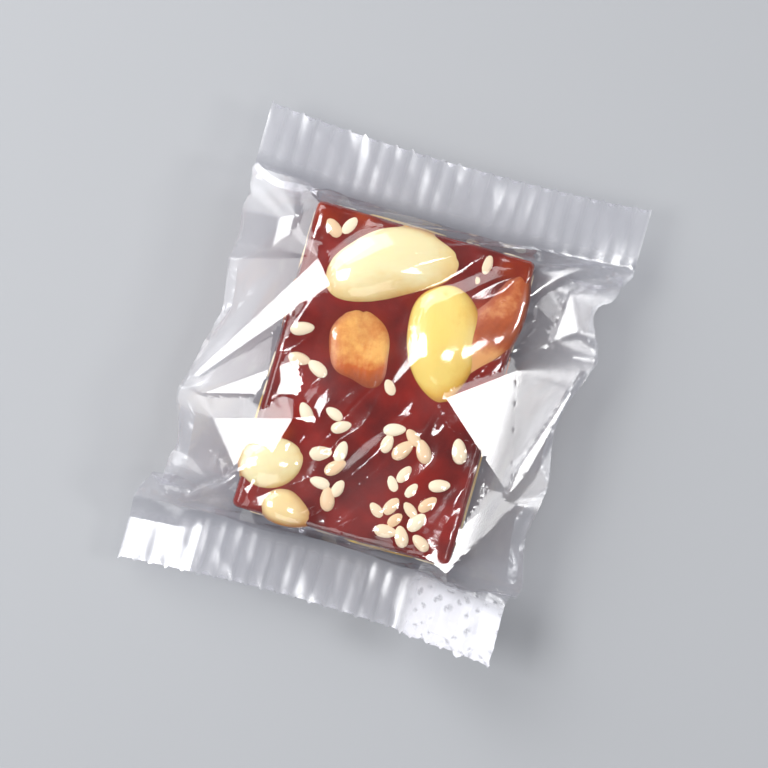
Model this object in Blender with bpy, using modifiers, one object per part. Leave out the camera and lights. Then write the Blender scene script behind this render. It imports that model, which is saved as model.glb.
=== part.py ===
"""Banana peanut candy in its clear flow-wrap, as one closed solid.

A knife-cut tablet of dark banana jelly, with peanut halves and sesame seeds in its top,
lies in a loose tube of clear film. The film runs from the tablet's top and bottom edges
out to a crease at each side, and is pressed flat at both ends into ribbed seals with a
zigzag cut. The seam along its back is folded flat under the tablet. Metres, +Z up,
+Y along the tube, origin on the floor under the middle of the tablet.
"""

import math
import random

import bmesh
import bpy
from mathutils import Matrix, Vector

MM = 0.001

# The tablet: cut to size with a knife, so its edges are only slightly rounded.
TABLET_WIDTH = 27.0 * MM
TABLET_LENGTH = 38.0 * MM
TABLET_HEIGHT = 11.6 * MM
TABLET_FLARE = 0.5 * MM
TABLET_EDGE_RADIUS = 0.8 * MM
TABLET_EDGE_SEGMENTS = 2

# The film: the tube's flattened width, and the whole length with both seals.
FILM_WIDTH = 48.0 * MM
PACK_LENGTH = 59.0 * MM
SEAL_DEPTH = 8.0 * MM
SEAL_THICKNESS = 0.8 * MM
FILM_INSET = 0.15 * MM

# Between the tablet and a seal the film first stays full, then falls to the seal, and
# the seal's two layers only meet at the very end of its width.
END_FULLNESS = 1.6
SEAL_EDGE_POWER = 8

# The back seam: a fin of film folded flat to one side, which the pack rests on.
FIN_WIDTH = 8.0 * MM
FIN_OFFSET = 1.5 * MM
FIN_THICKNESS = 0.3 * MM
FIN_COLUMNS = 4

# The crimping jaws leave ribs along the tube, which reach their full height over a share
# of the seal's depth, and the knife leaves teeth.
RIB_PITCH = 2.0 * MM
RIB_HEIGHT = 0.25 * MM
RIB_RUN_IN = 0.5
TOOTH_DEPTH = 0.9 * MM

# Each seal stands between the floor and the tablet's top, and its middle is drawn in
# towards the tablet, behind its two corners. One corner of the front seal curls up.
FRONT_SEAL_HEIGHT = 5.0 * MM
BACK_SEAL_HEIGHT = 6.2 * MM
FRONT_SEAL_SHIFT = -1.5 * MM
BACK_SEAL_SHIFT = 1.5 * MM
SEAL_BOW = 1.2 * MM
SEAL_WAVE = 0.7 * MM
CORNER_CURL = 4.2 * MM
CORNER_CURL_START = 12.0 * MM

# The side creases: how far out and how high they stand where nothing pinches them.
CREASE_REACH = 21.4 * MM
CREASE_HEIGHT = 5.0 * MM
CREASE_LIFT = 2.0 * MM
CREASE_SHARPNESS = 1.4
CREASE_FLARE_START = 11.0 * MM

# Pinched points of the creases: side, place along the tube, extra reach, half length.
CREASE_POINTS = (
    (-1, -7.7 * MM, 2.9 * MM, 9.0 * MM),
    (-1, 9.5 * MM, 1.1 * MM, 7.0 * MM),
    (1, 9.8 * MM, 3.2 * MM, 8.5 * MM),
    (1, -6.5 * MM, 1.4 * MM, 8.0 * MM),
)

# Pleats in the short gathers between the tablet and the seals.
PLEAT_PITCH = 6.0 * MM
PLEAT_HEIGHT = 0.7 * MM
PLEAT_START = 0.25

# Peanut halves that stand out of the top: name, x, y, length, width, turn, how proud,
# and how far both their ends bend to one side.
PEANUTS = (
    ("long_half", -3.0 * MM, 14.4 * MM, 16.6 * MM, 8.8 * MM, 29.0, 1.7 * MM, 1.5 * MM),
    ("egg_half", 5.5 * MM, 6.5 * MM, 14.8 * MM, 9.2 * MM, -73.0, 1.9 * MM, 0.0),
    ("sunk_half", -4.1 * MM, 3.9 * MM, 12.2 * MM, 8.4 * MM, 98.0, 0.6 * MM, 0.4 * MM),
    ("edge_half", 10.0 * MM, 9.6 * MM, 14.0 * MM, 6.6 * MM, 74.0, 0.7 * MM, -0.5 * MM),
    ("side_half", -10.2 * MM, -12.6 * MM, 8.4 * MM, 6.8 * MM, 30.0, 1.0 * MM, 0.0),
    ("front_half", -6.9 * MM, -17.4 * MM, 6.8 * MM, 4.6 * MM, -8.0, 0.7 * MM, 0.2 * MM),
)
PEANUT_SUNK = 0.5 * MM
PEANUT_TAPER = 0.3
PEANUT_SIDES = 14
PEANUT_RINGS = 9

# Sesame seeds: clusters as x, y, half width, half length, count.
SEED_LENGTH = 3.0 * MM
SEED_WIDTH = 1.75 * MM
SEED_THICKNESS = 0.95 * MM
SEED_SUNK = 0.1 * MM
SEED_TAPER = 0.35
SEED_GAP = 1.75 * MM
SEED_EDGE_MARGIN = 1.6 * MM
SEED_SIDES = 6
SEED_RINGS = 4
SEED_CLUSTERS = (
    (-4.6 * MM, -12.6 * MM, 2.9 * MM, 3.8 * MM, 9),
    (7.0 * MM, -13.6 * MM, 3.3 * MM, 4.2 * MM, 12),
    (3.5 * MM, -5.6 * MM, 9.0 * MM, 1.5 * MM, 6),
    (-10.2 * MM, 17.0 * MM, 1.3 * MM, 0.6 * MM, 2),
    (7.4 * MM, 16.2 * MM, 2.6 * MM, 1.0 * MM, 2),
    (-9.6 * MM, 2.4 * MM, 1.6 * MM, 3.4 * MM, 3),
    (1.3 * MM, 0.4 * MM, 0.8 * MM, 0.5 * MM, 1),
    (0.0 * MM, -9.6 * MM, 9.0 * MM, 7.0 * MM, 4),
)
SEED_DRAW = 7
SEED_TRIES = 400

SHEET_COLUMNS = 48
SEAL_ROWS = 4
GATHER_ROWS = 3
TABLET_ROWS = 16


def tri_wave(turns):
    """A sharp wave between -1 and 1 that repeats once a turn."""
    return 4.0 * abs(turns - math.floor(turns + 0.5)) - 1.0


def smooth_step(value):
    """A soft ramp from 0 to 1."""
    value = min(max(value, 0.0), 1.0)
    return value * value * (3.0 - 2.0 * value)


def hump(value):
    """A round bump that is 0 at 0 and at 1, and 1 in between."""
    return 4.0 * value * (1.0 - value)


def make_material(name, colour, roughness):
    """A Principled material with one colour."""
    material = bpy.data.materials.new(name)
    material.use_nodes = True
    shader = material.node_tree.nodes["Principled BSDF"]
    shader.inputs["Base Color"].default_value = (*colour, 1.0)
    shader.inputs["Roughness"].default_value = roughness
    shader.inputs["Metallic"].default_value = 0.0
    return material


def add_mesh_object(name, shape, collection, material):
    """Turn a bmesh into a named object with its material."""
    mesh = bpy.data.meshes.new(name)
    shape.to_mesh(mesh)
    shape.free()
    mesh.materials.append(material)
    piece = bpy.data.objects.new(name, mesh)
    collection.objects.link(piece)
    return piece


def spread(start, end, count):
    """Evenly spaced places from start up to, but without, end."""
    return [start + (end - start) * step / count for step in range(count)]


def row_places():
    """Rows of the film along the tube, from the front cut to the back cut."""
    cut = PACK_LENGTH / 2
    seal_line = cut - SEAL_DEPTH
    tablet_end = TABLET_LENGTH / 2
    return (
        spread(-cut, -seal_line, SEAL_ROWS)
        + spread(-seal_line, -tablet_end, GATHER_ROWS)
        + spread(-tablet_end, tablet_end, TABLET_ROWS)
        + spread(tablet_end, seal_line, GATHER_ROWS)
        + spread(seal_line, cut, SEAL_ROWS)
        + [cut]
    )


def crease_point(side, along):
    """Reach and height of a side crease of the film at a place along the tube."""
    seal_line = PACK_LENGTH / 2 - SEAL_DEPTH
    flare = smooth_step((abs(along) - CREASE_FLARE_START) / (seal_line - CREASE_FLARE_START))
    extra_reach = (FILM_WIDTH / 2 - CREASE_REACH) * flare
    pinch = 0.0
    for point_side, place, extra, half_length in CREASE_POINTS:
        if point_side == side:
            near = max(0.0, 1.0 - abs(along - place) / half_length) ** CREASE_SHARPNESS
            extra_reach = max(extra_reach, extra * near)
            pinch = max(pinch, near)
    return CREASE_REACH + extra_reach, CREASE_HEIGHT + CREASE_LIFT * pinch


def seal_height(end, across):
    """Height of the middle of a seal, end is -1 at the front and 1 at the back."""
    height = FRONT_SEAL_HEIGHT if end < 0 else BACK_SEAL_HEIGHT
    height += SEAL_WAVE * math.sin(math.tau * across / FILM_WIDTH + end)
    if end < 0:
        curl_length = FILM_WIDTH / 2 - CORNER_CURL_START
        height += CORNER_CURL * smooth_step((across - CORNER_CURL_START) / curl_length)
    return height


def film_point(across, along, layer):
    """A point of the film from its flattened place, layer is 1 on top and -1 below."""
    end = 1 if along > 0 else -1
    side = 1 if across > 0 else -1
    half_width = TABLET_WIDTH / 2
    half_length = TABLET_LENGTH / 2
    seal_line = PACK_LENGTH / 2 - SEAL_DEPTH

    to_side = max(0.0, abs(across) - half_width) / (FILM_WIDTH / 2 - half_width)
    to_seal = min(1.0, max(0.0, abs(along) - half_length) / (seal_line - half_length))
    reach, crease_height = crease_point(side, along)
    low = crease_height + (seal_height(end, across) - crease_height) * to_seal

    x = across
    if abs(across) > half_width:
        x = side * (half_width + (reach - half_width) * to_side)
    x += to_seal * (FRONT_SEAL_SHIFT if end < 0 else BACK_SEAL_SHIFT)
    corner = (across / (FILM_WIDTH / 2)) ** 2
    y = along - end * SEAL_BOW * (1.0 - corner) * to_seal

    away = max(to_side, to_seal ** END_FULLNESS)
    on_tablet = FIN_THICKNESS + (TABLET_HEIGHT - FILM_INSET if layer > 0 else FILM_INSET)
    z = on_tablet + (low - on_tablet) * away
    z += layer * (SEAL_THICKNESS / 2) * to_seal * (1.0 - to_side ** SEAL_EDGE_POWER)
    pleat = hump(to_seal) * (1.0 - to_side)
    z += layer * PLEAT_HEIGHT * pleat * tri_wave(across / PLEAT_PITCH + PLEAT_START * end)

    in_seal = max(0.0, abs(along) - seal_line) / SEAL_DEPTH
    rib = tri_wave(across / RIB_PITCH)
    z += RIB_HEIGHT * rib * min(1.0, in_seal / RIB_RUN_IN)
    if math.isclose(abs(along), PACK_LENGTH / 2):
        y -= end * TOOTH_DEPTH * 0.5 * (1.0 + rib)
    return Vector((x, y, z))


def make_film(collection, material):
    """The film's outer form: a loft from seal to seal, both layers meeting at the creases."""
    rows = row_places()
    edge = FILM_WIDTH / 2
    columns = spread(-edge, edge, SHEET_COLUMNS) + [edge]
    shape = bmesh.new()
    loops = []
    for along in rows:
        top = [shape.verts.new(film_point(across, along, 1)) for across in columns]
        inner = reversed(columns[1:-1])
        bottom = [shape.verts.new(film_point(across, along, -1)) for across in inner]
        loops.append(top + bottom)
    count = len(loops[0])
    for near, far in zip(loops, loops[1:]):
        for index in range(count):
            after = (index + 1) % count
            shape.faces.new((near[index], near[after], far[after], far[index]))
    for loop in (loops[0], loops[-1]):
        top = loop[: SHEET_COLUMNS + 1]
        bottom = [loop[0]] + list(reversed(loop[SHEET_COLUMNS + 1:])) + [loop[SHEET_COLUMNS]]
        for index in range(SHEET_COLUMNS):
            corners = (top[index], top[index + 1], bottom[index + 1], bottom[index])
            shape.faces.new(list(dict.fromkeys(corners)))
    bmesh.ops.recalc_face_normals(shape, faces=shape.faces)
    return add_mesh_object("candy_pack", shape, collection, material)


def make_back_seam(collection, material):
    """The fin folded flat against the underside of the film, from cut to cut."""
    rows = row_places()
    left = FIN_OFFSET - FIN_WIDTH / 2
    right = FIN_OFFSET + FIN_WIDTH / 2
    columns = spread(left, right, FIN_COLUMNS) + [right]
    shape = bmesh.new()
    bmesh.ops.create_grid(
        shape, x_segments=FIN_COLUMNS, y_segments=len(rows) - 1, size=0.5,
    )
    for vert in shape.verts:
        column = round((vert.co.x + 0.5) * FIN_COLUMNS)
        row = round((vert.co.y + 0.5) * (len(rows) - 1))
        vert.co = film_point(columns[column], rows[row], -1)
        vert.co.z -= FIN_THICKNESS + FILM_INSET
    seam = add_mesh_object("back_seam", shape, collection, material)
    solid = seam.modifiers.new("thickness", "SOLIDIFY")
    solid.thickness = FIN_THICKNESS + 2 * FILM_INSET
    solid.offset = 1.0
    return seam


def make_tablet(collection, material):
    """The jelly tablet, a block a little wider at its foot, with rounded edges."""
    shape = bmesh.new()
    bmesh.ops.create_cube(shape, size=1.0)
    size = Vector((TABLET_WIDTH, TABLET_LENGTH, TABLET_HEIGHT))
    bmesh.ops.scale(shape, vec=size, verts=shape.verts)
    lift = FIN_THICKNESS + TABLET_HEIGHT / 2
    bmesh.ops.translate(shape, vec=(0.0, 0.0, lift), verts=shape.verts)
    for vert in shape.verts:
        if vert.co.z < lift:
            vert.co.x += math.copysign(TABLET_FLARE, vert.co.x)
            vert.co.y += math.copysign(TABLET_FLARE, vert.co.y)
    bmesh.ops.bevel(
        shape, geom=shape.edges[:], offset=TABLET_EDGE_RADIUS, segments=TABLET_EDGE_SEGMENTS,
        profile=0.5, affect="EDGES",
    )
    return add_mesh_object("tablet", shape, collection, material)


def make_pod(name, sizes, taper, bow, sides, rings, collection, material):
    """A flat egg shape, pointed towards its +X end, its ends bent towards -Y."""
    length, width, thickness = sizes
    shape = bmesh.new()
    bmesh.ops.create_uvsphere(
        shape, u_segments=sides, v_segments=rings, radius=0.5,
        matrix=Matrix.Rotation(math.pi / 2, 4, "Y"),
    )
    for vert in shape.verts:
        narrow = 1.0 - taper * vert.co.x
        bend = bow * (2.0 * vert.co.x) ** 2
        vert.co = Vector((
            vert.co.x * length, vert.co.y * width * narrow - bend,
            vert.co.z * thickness * narrow,
        ))
    return add_mesh_object(name, shape, collection, material)


def make_peanuts(collection, material):
    """Peanut halves, round side up, sunk in the tablet's top up to their shoulders."""
    for name, x, y, length, width, turn, proud, bow in PEANUTS:
        sizes = (length, width, 2 * (proud + PEANUT_SUNK))
        nut = make_pod(
            name, sizes, PEANUT_TAPER, bow, PEANUT_SIDES, PEANUT_RINGS, collection, material,
        )
        nut.location = (x, y, FIN_THICKNESS + TABLET_HEIGHT - PEANUT_SUNK)
        nut.rotation_euler = (0.0, 0.0, math.radians(turn))


def over_a_peanut(x, y):
    """Whether a seed at this place would lie on a peanut half."""
    for _, nut_x, nut_y, length, width, turn, *_ in PEANUTS:
        offset = Matrix.Rotation(math.radians(-turn), 2) @ Vector((x - nut_x, y - nut_y))
        reach_x = length / 2 + SEED_LENGTH / 3
        reach_y = width / 2 + SEED_LENGTH / 3
        if (offset.x / reach_x) ** 2 + (offset.y / reach_y) ** 2 < 1.0:
            return True
    return False


def seed_places():
    """Places and turns of the seeds, cluster by cluster, none of them touching."""
    draw = random.Random(SEED_DRAW)
    limit_x = TABLET_WIDTH / 2 - SEED_EDGE_MARGIN
    limit_y = TABLET_LENGTH / 2 - SEED_EDGE_MARGIN
    places = []
    for middle_x, middle_y, half_width, half_length, count in SEED_CLUSTERS:
        placed = 0
        for _ in range(SEED_TRIES):
            x = middle_x + half_width * draw.uniform(-1.0, 1.0)
            y = middle_y + half_length * draw.uniform(-1.0, 1.0)
            turn = draw.uniform(0.0, math.pi)
            if abs(x) > limit_x or abs(y) > limit_y or over_a_peanut(x, y):
                continue
            if any(math.hypot(x - seed[0], y - seed[1]) < SEED_GAP for seed in places):
                continue
            places.append((x, y, turn))
            placed += 1
            if placed == count:
                break
    return places


def make_seeds(collection, material):
    """Sesame seeds lying flat, half sunk in the jelly."""
    sizes = (SEED_LENGTH, SEED_WIDTH, SEED_THICKNESS)
    for number, (x, y, turn) in enumerate(seed_places(), start=1):
        seed = make_pod(
            f"seed_{number:02d}", sizes, SEED_TAPER, 0.0, SEED_SIDES, SEED_RINGS,
            collection, material,
        )
        seed.location = (x, y, FIN_THICKNESS + TABLET_HEIGHT - SEED_SUNK)
        seed.rotation_euler = (0.0, 0.0, turn)


def fuse(base, contents):
    """Join the contents to the film's form by one union, then remove them."""
    union = base.modifiers.new("contents", "BOOLEAN")
    union.operation = "UNION"
    union.operand_type = "COLLECTION"
    union.collection = contents
    union.solver = "EXACT"
    union.material_mode = "TRANSFER"
    bpy.context.view_layer.update()
    evaluated = base.evaluated_get(bpy.context.evaluated_depsgraph_get())
    fused = bpy.data.meshes.new_from_object(evaluated)
    base.modifiers.clear()
    base.data = fused
    for piece in list(contents.objects):
        bpy.data.objects.remove(piece)
    bpy.data.collections.remove(contents)


def main():
    """Build the wrapped candy as one solid."""
    for old in list(bpy.data.objects):
        bpy.data.objects.remove(old)
    scene_root = bpy.context.scene.collection
    candy = bpy.data.collections.new("banana_peanut_candy")
    contents = bpy.data.collections.new("contents")
    scene_root.children.link(candy)
    scene_root.children.link(contents)

    film = make_material("clear_film", (0.55, 0.55, 0.58), 0.15)
    jelly = make_material("banana_jelly", (0.10, 0.008, 0.004), 0.2)
    nut = make_material("peanut", (0.90, 0.62, 0.27), 0.45)
    seed = make_material("sesame", (0.85, 0.66, 0.42), 0.5)

    pack = make_film(candy, film)
    make_back_seam(contents, film)
    make_tablet(contents, jelly)
    make_peanuts(contents, nut)
    make_seeds(contents, seed)
    fuse(pack, contents)


main()
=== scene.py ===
"""Looks of the wrapped banana peanut candy: film, jelly tablet, peanut halves and sesame.

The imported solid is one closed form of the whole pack. Here it is replaced by what the pack
is made of: a thin clear film, relaxed from its flat tube round the tablet, and in it the
jelly tablet with its nuts and seeds. Everything is in metres, in the frame of the solid.
"""

from __future__ import annotations

import logging
import math
import random
from dataclasses import dataclass, field
from enum import Enum

import bmesh
import bpy
import numpy as np
from mathutils import Matrix, Vector
from mathutils.bvhtree import BVHTree


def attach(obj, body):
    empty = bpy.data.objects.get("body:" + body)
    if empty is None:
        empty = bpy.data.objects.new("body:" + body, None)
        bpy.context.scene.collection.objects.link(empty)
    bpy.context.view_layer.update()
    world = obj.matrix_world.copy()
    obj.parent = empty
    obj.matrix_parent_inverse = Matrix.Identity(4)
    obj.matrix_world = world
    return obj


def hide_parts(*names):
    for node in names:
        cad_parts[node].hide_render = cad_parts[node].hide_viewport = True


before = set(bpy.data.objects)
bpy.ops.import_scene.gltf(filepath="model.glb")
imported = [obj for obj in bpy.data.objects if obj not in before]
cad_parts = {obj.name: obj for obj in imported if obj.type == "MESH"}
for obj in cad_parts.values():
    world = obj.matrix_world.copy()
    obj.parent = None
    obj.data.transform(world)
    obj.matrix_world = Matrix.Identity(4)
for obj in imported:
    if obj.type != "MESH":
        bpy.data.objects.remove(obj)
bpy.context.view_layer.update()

LOG = logging.getLogger("candy")
MM = 0.001
BODY = "root"
PACK_NODE = "candy_pack"
NOISE_WAVES = 7


def linear(hex_colour: str) -> tuple[float, float, float, float]:
    """Turn an sRGB hex colour into linear values.

    Args:
        hex_colour: Six hex digits.

    Returns:
        Linear red, green and blue, and an alpha of 1.
    """
    channels = []
    for start in (0, 2, 4):
        value = int(hex_colour[start:start + 2], 16) / 255.0
        channels.append(value / 12.92 if value <= 0.04045 else ((value + 0.055) / 1.055) ** 2.4)
    return (channels[0], channels[1], channels[2], 1.0)


def add_node(
    tree: bpy.types.NodeTree, kind: str, inputs: dict | None = None, **settings: object,
) -> bpy.types.Node:
    """Add one shader node with its settings, values and links.

    Args:
        tree: The material's node tree.
        kind: The node's type, without the leading ShaderNode.
        inputs: Socket name or number to a value, or to the output socket that feeds it.
        **settings: Properties of the node itself.

    Returns:
        The new node.
    """
    node = tree.nodes.new("ShaderNode" + kind)
    for name, value in settings.items():
        setattr(node, name, value)
    for key, value in (inputs or {}).items():
        if isinstance(value, bpy.types.NodeSocket):
            tree.links.new(value, node.inputs[key])
        else:
            node.inputs[key].default_value = value
    return node


def new_material(name: str) -> tuple[bpy.types.Material, bpy.types.NodeTree]:
    """Make a material with an empty node tree.

    Args:
        name: The material's name.

    Returns:
        The material and its tree.
    """
    material = bpy.data.materials.new(name)
    material.use_nodes = True
    material.node_tree.nodes.clear()
    return material, material.node_tree


def set_ramp(node: bpy.types.Node, stops: tuple[tuple[float, str], ...]) -> None:
    """Give a colour ramp its stops.

    Args:
        node: The ramp's node.
        stops: Place from 0 to 1 and sRGB hex colour of each stop.
    """
    ramp = node.color_ramp
    while len(ramp.elements) < len(stops):
        ramp.elements.new(0.5)
    for element, (place, colour) in zip(ramp.elements, stops):
        element.position = place
        element.color = linear(colour)


def tri_wave(turns: np.ndarray) -> np.ndarray:
    """A sharp wave between -1 and 1 that repeats once a turn."""
    return 4.0 * np.abs(turns - np.floor(turns + 0.5)) - 1.0


def smooth_step(value: np.ndarray | float) -> np.ndarray | float:
    """A soft ramp from 0 to 1."""
    clipped = np.clip(value, 0.0, 1.0)
    return clipped * clipped * (3.0 - 2.0 * clipped)


def smooth_noise(points: np.ndarray, scale: float, draw: int) -> np.ndarray:
    """Soft uneven values made of a few crossing waves, the same for the same draw.

    Args:
        points: Places, one row each, in metres.
        scale: Rough size of one bump in metres.
        draw: Number that picks the waves.

    Returns:
        One value for each place, mostly between -1 and 1.
    """
    picks = np.random.default_rng(draw)
    total = np.zeros(len(points))
    for _ in range(NOISE_WAVES):
        direction = picks.normal(size=points.shape[1])
        direction *= picks.uniform(0.6, 1.5) / np.linalg.norm(direction)
        total += np.sin(points @ direction * math.pi / scale + picks.uniform(0.0, math.tau))
    return total / (NOISE_WAVES / 2)


def ridged_noise(points: np.ndarray, scale: float, draw: int) -> np.ndarray:
    """Uneven values with sharp ridges, for crumpled film.

    Args:
        points: Places, one row each, in metres.
        scale: Rough size of one bump in metres.
        draw: Number that picks the waves.

    Returns:
        One value for each place, between about -1 and 1.
    """
    coarse = np.abs(smooth_noise(points, scale, draw))
    fine = np.abs(smooth_noise(points, scale / 2.3, draw + 50))
    return 1.0 - 1.6 * coarse - 0.6 * fine


def make_object(
    name: str, points: np.ndarray, faces: list | np.ndarray, material: bpy.types.Material,
) -> bpy.types.Object:
    """Make a smooth mesh object from points and faces and link it to the scene.

    Args:
        name: The object's name.
        points: Places, one row each.
        faces: Corner numbers of each face.
        material: Its material.

    Returns:
        The new object.
    """
    mesh = bpy.data.meshes.new(name)
    mesh.from_pydata(np.asarray(points).tolist(), [], [list(map(int, face)) for face in faces])
    mesh.validate()
    mesh.materials.append(material)
    mesh.shade_smooth()
    piece = bpy.data.objects.new(name, mesh)
    bpy.context.scene.collection.objects.link(piece)
    return piece


def make_ball(sides: int, rings: int) -> tuple[np.ndarray, list]:
    """A ball 1 across with its poles on the X axis.

    Args:
        sides: Faces round it.
        rings: Faces from pole to pole.

    Returns:
        Its points and its faces.
    """
    shape = bmesh.new()
    bmesh.ops.create_uvsphere(
        shape, u_segments=sides, v_segments=rings, radius=0.5,
        matrix=Matrix.Rotation(math.pi / 2, 4, "Y"),
    )
    shape.verts.ensure_lookup_table()
    points = np.array([vert.co for vert in shape.verts])
    faces = [[vert.index for vert in face.verts] for face in shape.faces]
    shape.free()
    return points, faces


def round_tube(over: np.ndarray, under: float = 1.0) -> np.ndarray:
    """Values round a flattened tube: over its top, then back below, times a factor there."""
    return np.concatenate((over, under * over[-2:0:-1]))


def grid_faces(rows: int, columns: int, closed: bool = False) -> np.ndarray:
    """Faces between the points of a grid.

    Args:
        rows: Rows of points.
        columns: Points in each row.
        closed: Whether the last point of a row is joined to its first one.

    Returns:
        Four corner numbers for each face, in rows and columns.
    """
    index = np.arange(rows * columns).reshape(rows, columns)
    if closed:
        index = np.concatenate((index, index[:, :1]), axis=1)
    return np.stack((index[:-1, :-1], index[:-1, 1:], index[1:, 1:], index[1:, :-1]), axis=-1)


def keep(piece: bpy.types.Object, name: str, values: np.ndarray) -> None:
    """Store one number or one place for each vertex, for the material to read.

    Args:
        piece: The mesh object.
        name: The attribute's name.
        values: One number or one row for each vertex.
    """
    kind, part = ("FLOAT", "value") if values.ndim == 1 else ("FLOAT_VECTOR", "vector")
    attribute = piece.data.attributes.new(name, kind, "POINT")
    attribute.data.foreach_set(part, values.astype(np.float32).ravel())


def settle(piece: bpy.types.Object, slot: str) -> None:
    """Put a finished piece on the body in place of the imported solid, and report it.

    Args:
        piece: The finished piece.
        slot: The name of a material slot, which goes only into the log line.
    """
    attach(piece, BODY)
    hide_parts(PACK_NODE)
    LOG.info("%s: %d faces, slot %s", piece.name, len(piece.data.polygons), slot)


class Tone(Enum):
    """How far a peanut half is roasted and sunk, which sets its colours."""

    CREAM = "cream"
    GOLD = "gold"
    AMBER = "amber"
    RUST = "rust"
    TAN = "tan"


CANDIED = (Tone.AMBER, Tone.RUST)


@dataclass(frozen=True)
class Half:
    """One peanut half and its place in a face of the tablet, in millimetres and degrees."""

    name: str
    tone: Tone
    x: float
    y: float
    length: float
    width: float
    turn: float

    def covers(self, x: float, y: float, margin: float) -> bool:
        """Whether a place in its face lies on the half or beside it.

        Args:
            x: The place along the face, in metres.
            y: The place up the face, in metres.
            margin: How far beside it counts, in metres.

        Returns:
            Whether it does.
        """
        turn = Matrix.Rotation(math.radians(-self.turn), 2)
        offset = turn @ Vector((x - self.x * MM, y - self.y * MM))
        reach_x = self.length / 2 * MM + margin
        reach_y = self.width / 2 * MM + margin
        return (offset.x / reach_x) ** 2 + (offset.y / reach_y) ** 2 < 1.0


@dataclass(frozen=True)
class Nut(Half):
    """A half in the tablet's top, round side up.

    Its ends bend by bow to one side, and it is brown most towards one direction, partly as painted
    shade, and paler on the other side.
    """

    proud: float
    bow: float
    browned_and_shaded_turn: float


# Each row: name, tone, x, y, length, width, turn, proud, bow, and the turn towards which the half
# is made browner, partly as painted shade away from the lamps.
NUTS = (
    Nut("long_half", Tone.CREAM, -2.8, 14.3, 18.2, 8.9, 24.0, 1.7, 1.4, -60.0),
    Nut("egg_half", Tone.GOLD, 5.5, 6.5, 14.8, 9.2, -78.0, 1.9, 0.0, -10.0),
    Nut("sunk_half", Tone.AMBER, -4.1, 3.9, 12.2, 8.4, 98.0, 0.6, 0.4, -70.0),
    Nut("edge_half", Tone.RUST, 10.3, 9.8, 16.4, 6.8, 74.0, 1.15, -0.5, 70.0),
    Nut("side_half", Tone.CREAM, -10.2, -12.6, 8.4, 6.8, 30.0, 1.0, 0.0, -40.0),
    Nut("front_half", Tone.TAN, -6.9, -17.4, 6.8, 4.6, -8.0, 0.7, 0.2, 20.0),
)
# How deep the widest part of a half lies under the jelly in millimetres, and how much
# narrower its pointed end is.
NUT_SUNK = 0.5
NUT_TAPER = 0.3


class Face(Enum):
    """A cut side of the tablet or its underside, by the way it looks."""

    LEFT = (-1.0, 0.0, 0.0)
    RIGHT = (1.0, 0.0, 0.0)
    FRONT = (0.0, -1.0, 0.0)
    BACK = (0.0, 1.0, 0.0)
    UNDER = (0.0, 0.0, -1.0)


@dataclass(frozen=True)
class CutNut(Half):
    """A half that the knife or the pan left flush with a face."""

    depth: float
    face: Face


CUT_NUTS = (
    CutNut("left_back_cut", Tone.GOLD, 10.5, 1.2, 11.0, 6.2, 14.0, 0.9, Face.LEFT),
    CutNut("left_low_cut", Tone.AMBER, -6.0, -2.0, 8.5, 5.0, -32.0, 1.1, Face.LEFT),
    CutNut("right_front_cut", Tone.CREAM, -9.0, 0.4, 12.0, 6.4, -12.0, 0.8, Face.RIGHT),
    CutNut("right_low_cut", Tone.AMBER, 4.5, -2.4, 8.0, 4.6, 20.0, 1.0, Face.RIGHT),
    CutNut("front_cut", Tone.GOLD, 5.0, 0.2, 9.5, 5.8, -20.0, 0.8, Face.FRONT),
    CutNut("back_cut", Tone.CREAM, 2.5, -0.8, 10.5, 6.0, 10.0, 0.9, Face.BACK),
    CutNut("under_long", Tone.AMBER, -3.5, 7.0, 14.5, 8.2, 38.0, 1.2, Face.UNDER),
    CutNut("under_small", Tone.GOLD, 5.5, -9.0, 11.0, 7.0, -64.0, 1.2, Face.UNDER),
)


@dataclass(frozen=True)
class JellyFinish:
    """Long-cooked banana jelly, poured, set and cut with a knife.

    It is dense sugar jelly, nearly black where it is thick and glowing red to amber where
    a pale nut lies just under the skin, with a wet gloss and faint bubbles.
    """

    deep: str = "5e0b05"
    body: str = "94190a"
    warm: str = "a83c0c"
    glow: str = "e8821c"
    mottle_mm: float = 5.0
    grain_mm: float = 0.7
    roughness: float = 0.16
    ior: float = 1.46

    def material(self) -> bpy.types.Material:
        """Build the jelly's material.

        Returns:
            The material.
        """
        material, tree = new_material("banana_jelly")
        place = add_node(tree, "TexCoord").outputs["Object"]
        mottle = add_node(tree, "TexNoise", {
            "Vector": place, "Scale": 1.0 / (self.mottle_mm * MM), "Detail": 4.0,
        })
        body = add_node(tree, "ValToRGB", {"Fac": mottle.outputs["Fac"]})
        set_ramp(body, ((0.35, self.deep), (0.68, self.body)))
        lit = add_node(tree, "Attribute", attribute_name="glow")
        glow = add_node(tree, "ValToRGB", {"Fac": lit.outputs["Fac"]})
        set_ramp(glow, ((0.0, self.deep), (0.4, self.warm), (1.0, self.glow)))
        share = add_node(tree, "Math", {
            0: lit.outputs["Fac"], 1: 1.6,
        }, operation="MULTIPLY", use_clamp=True)
        colour = add_node(tree, "Mix", {
            0: share.outputs[0], 6: body.outputs["Color"], 7: glow.outputs["Color"],
        }, data_type="RGBA")
        grain = add_node(tree, "TexNoise", {
            "Vector": place, "Scale": 1.0 / (self.grain_mm * MM), "Detail": 3.0,
        })
        bump = add_node(tree, "Bump", {
            "Height": grain.outputs["Fac"], "Strength": 0.25, "Distance": 0.1 * MM,
        })
        shader = add_node(tree, "BsdfPrincipled", {
            "Base Color": colour.outputs[2], "Roughness": self.roughness, "IOR": self.ior,
            "Subsurface Weight": 0.15, "Subsurface Scale": 1.5 * MM,
            "Subsurface Radius": (1.0, 0.35, 0.15), "Normal": bump.outputs["Normal"],
        })
        add_node(tree, "OutputMaterial", {"Surface": shader.outputs["BSDF"]})
        return material


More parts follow.
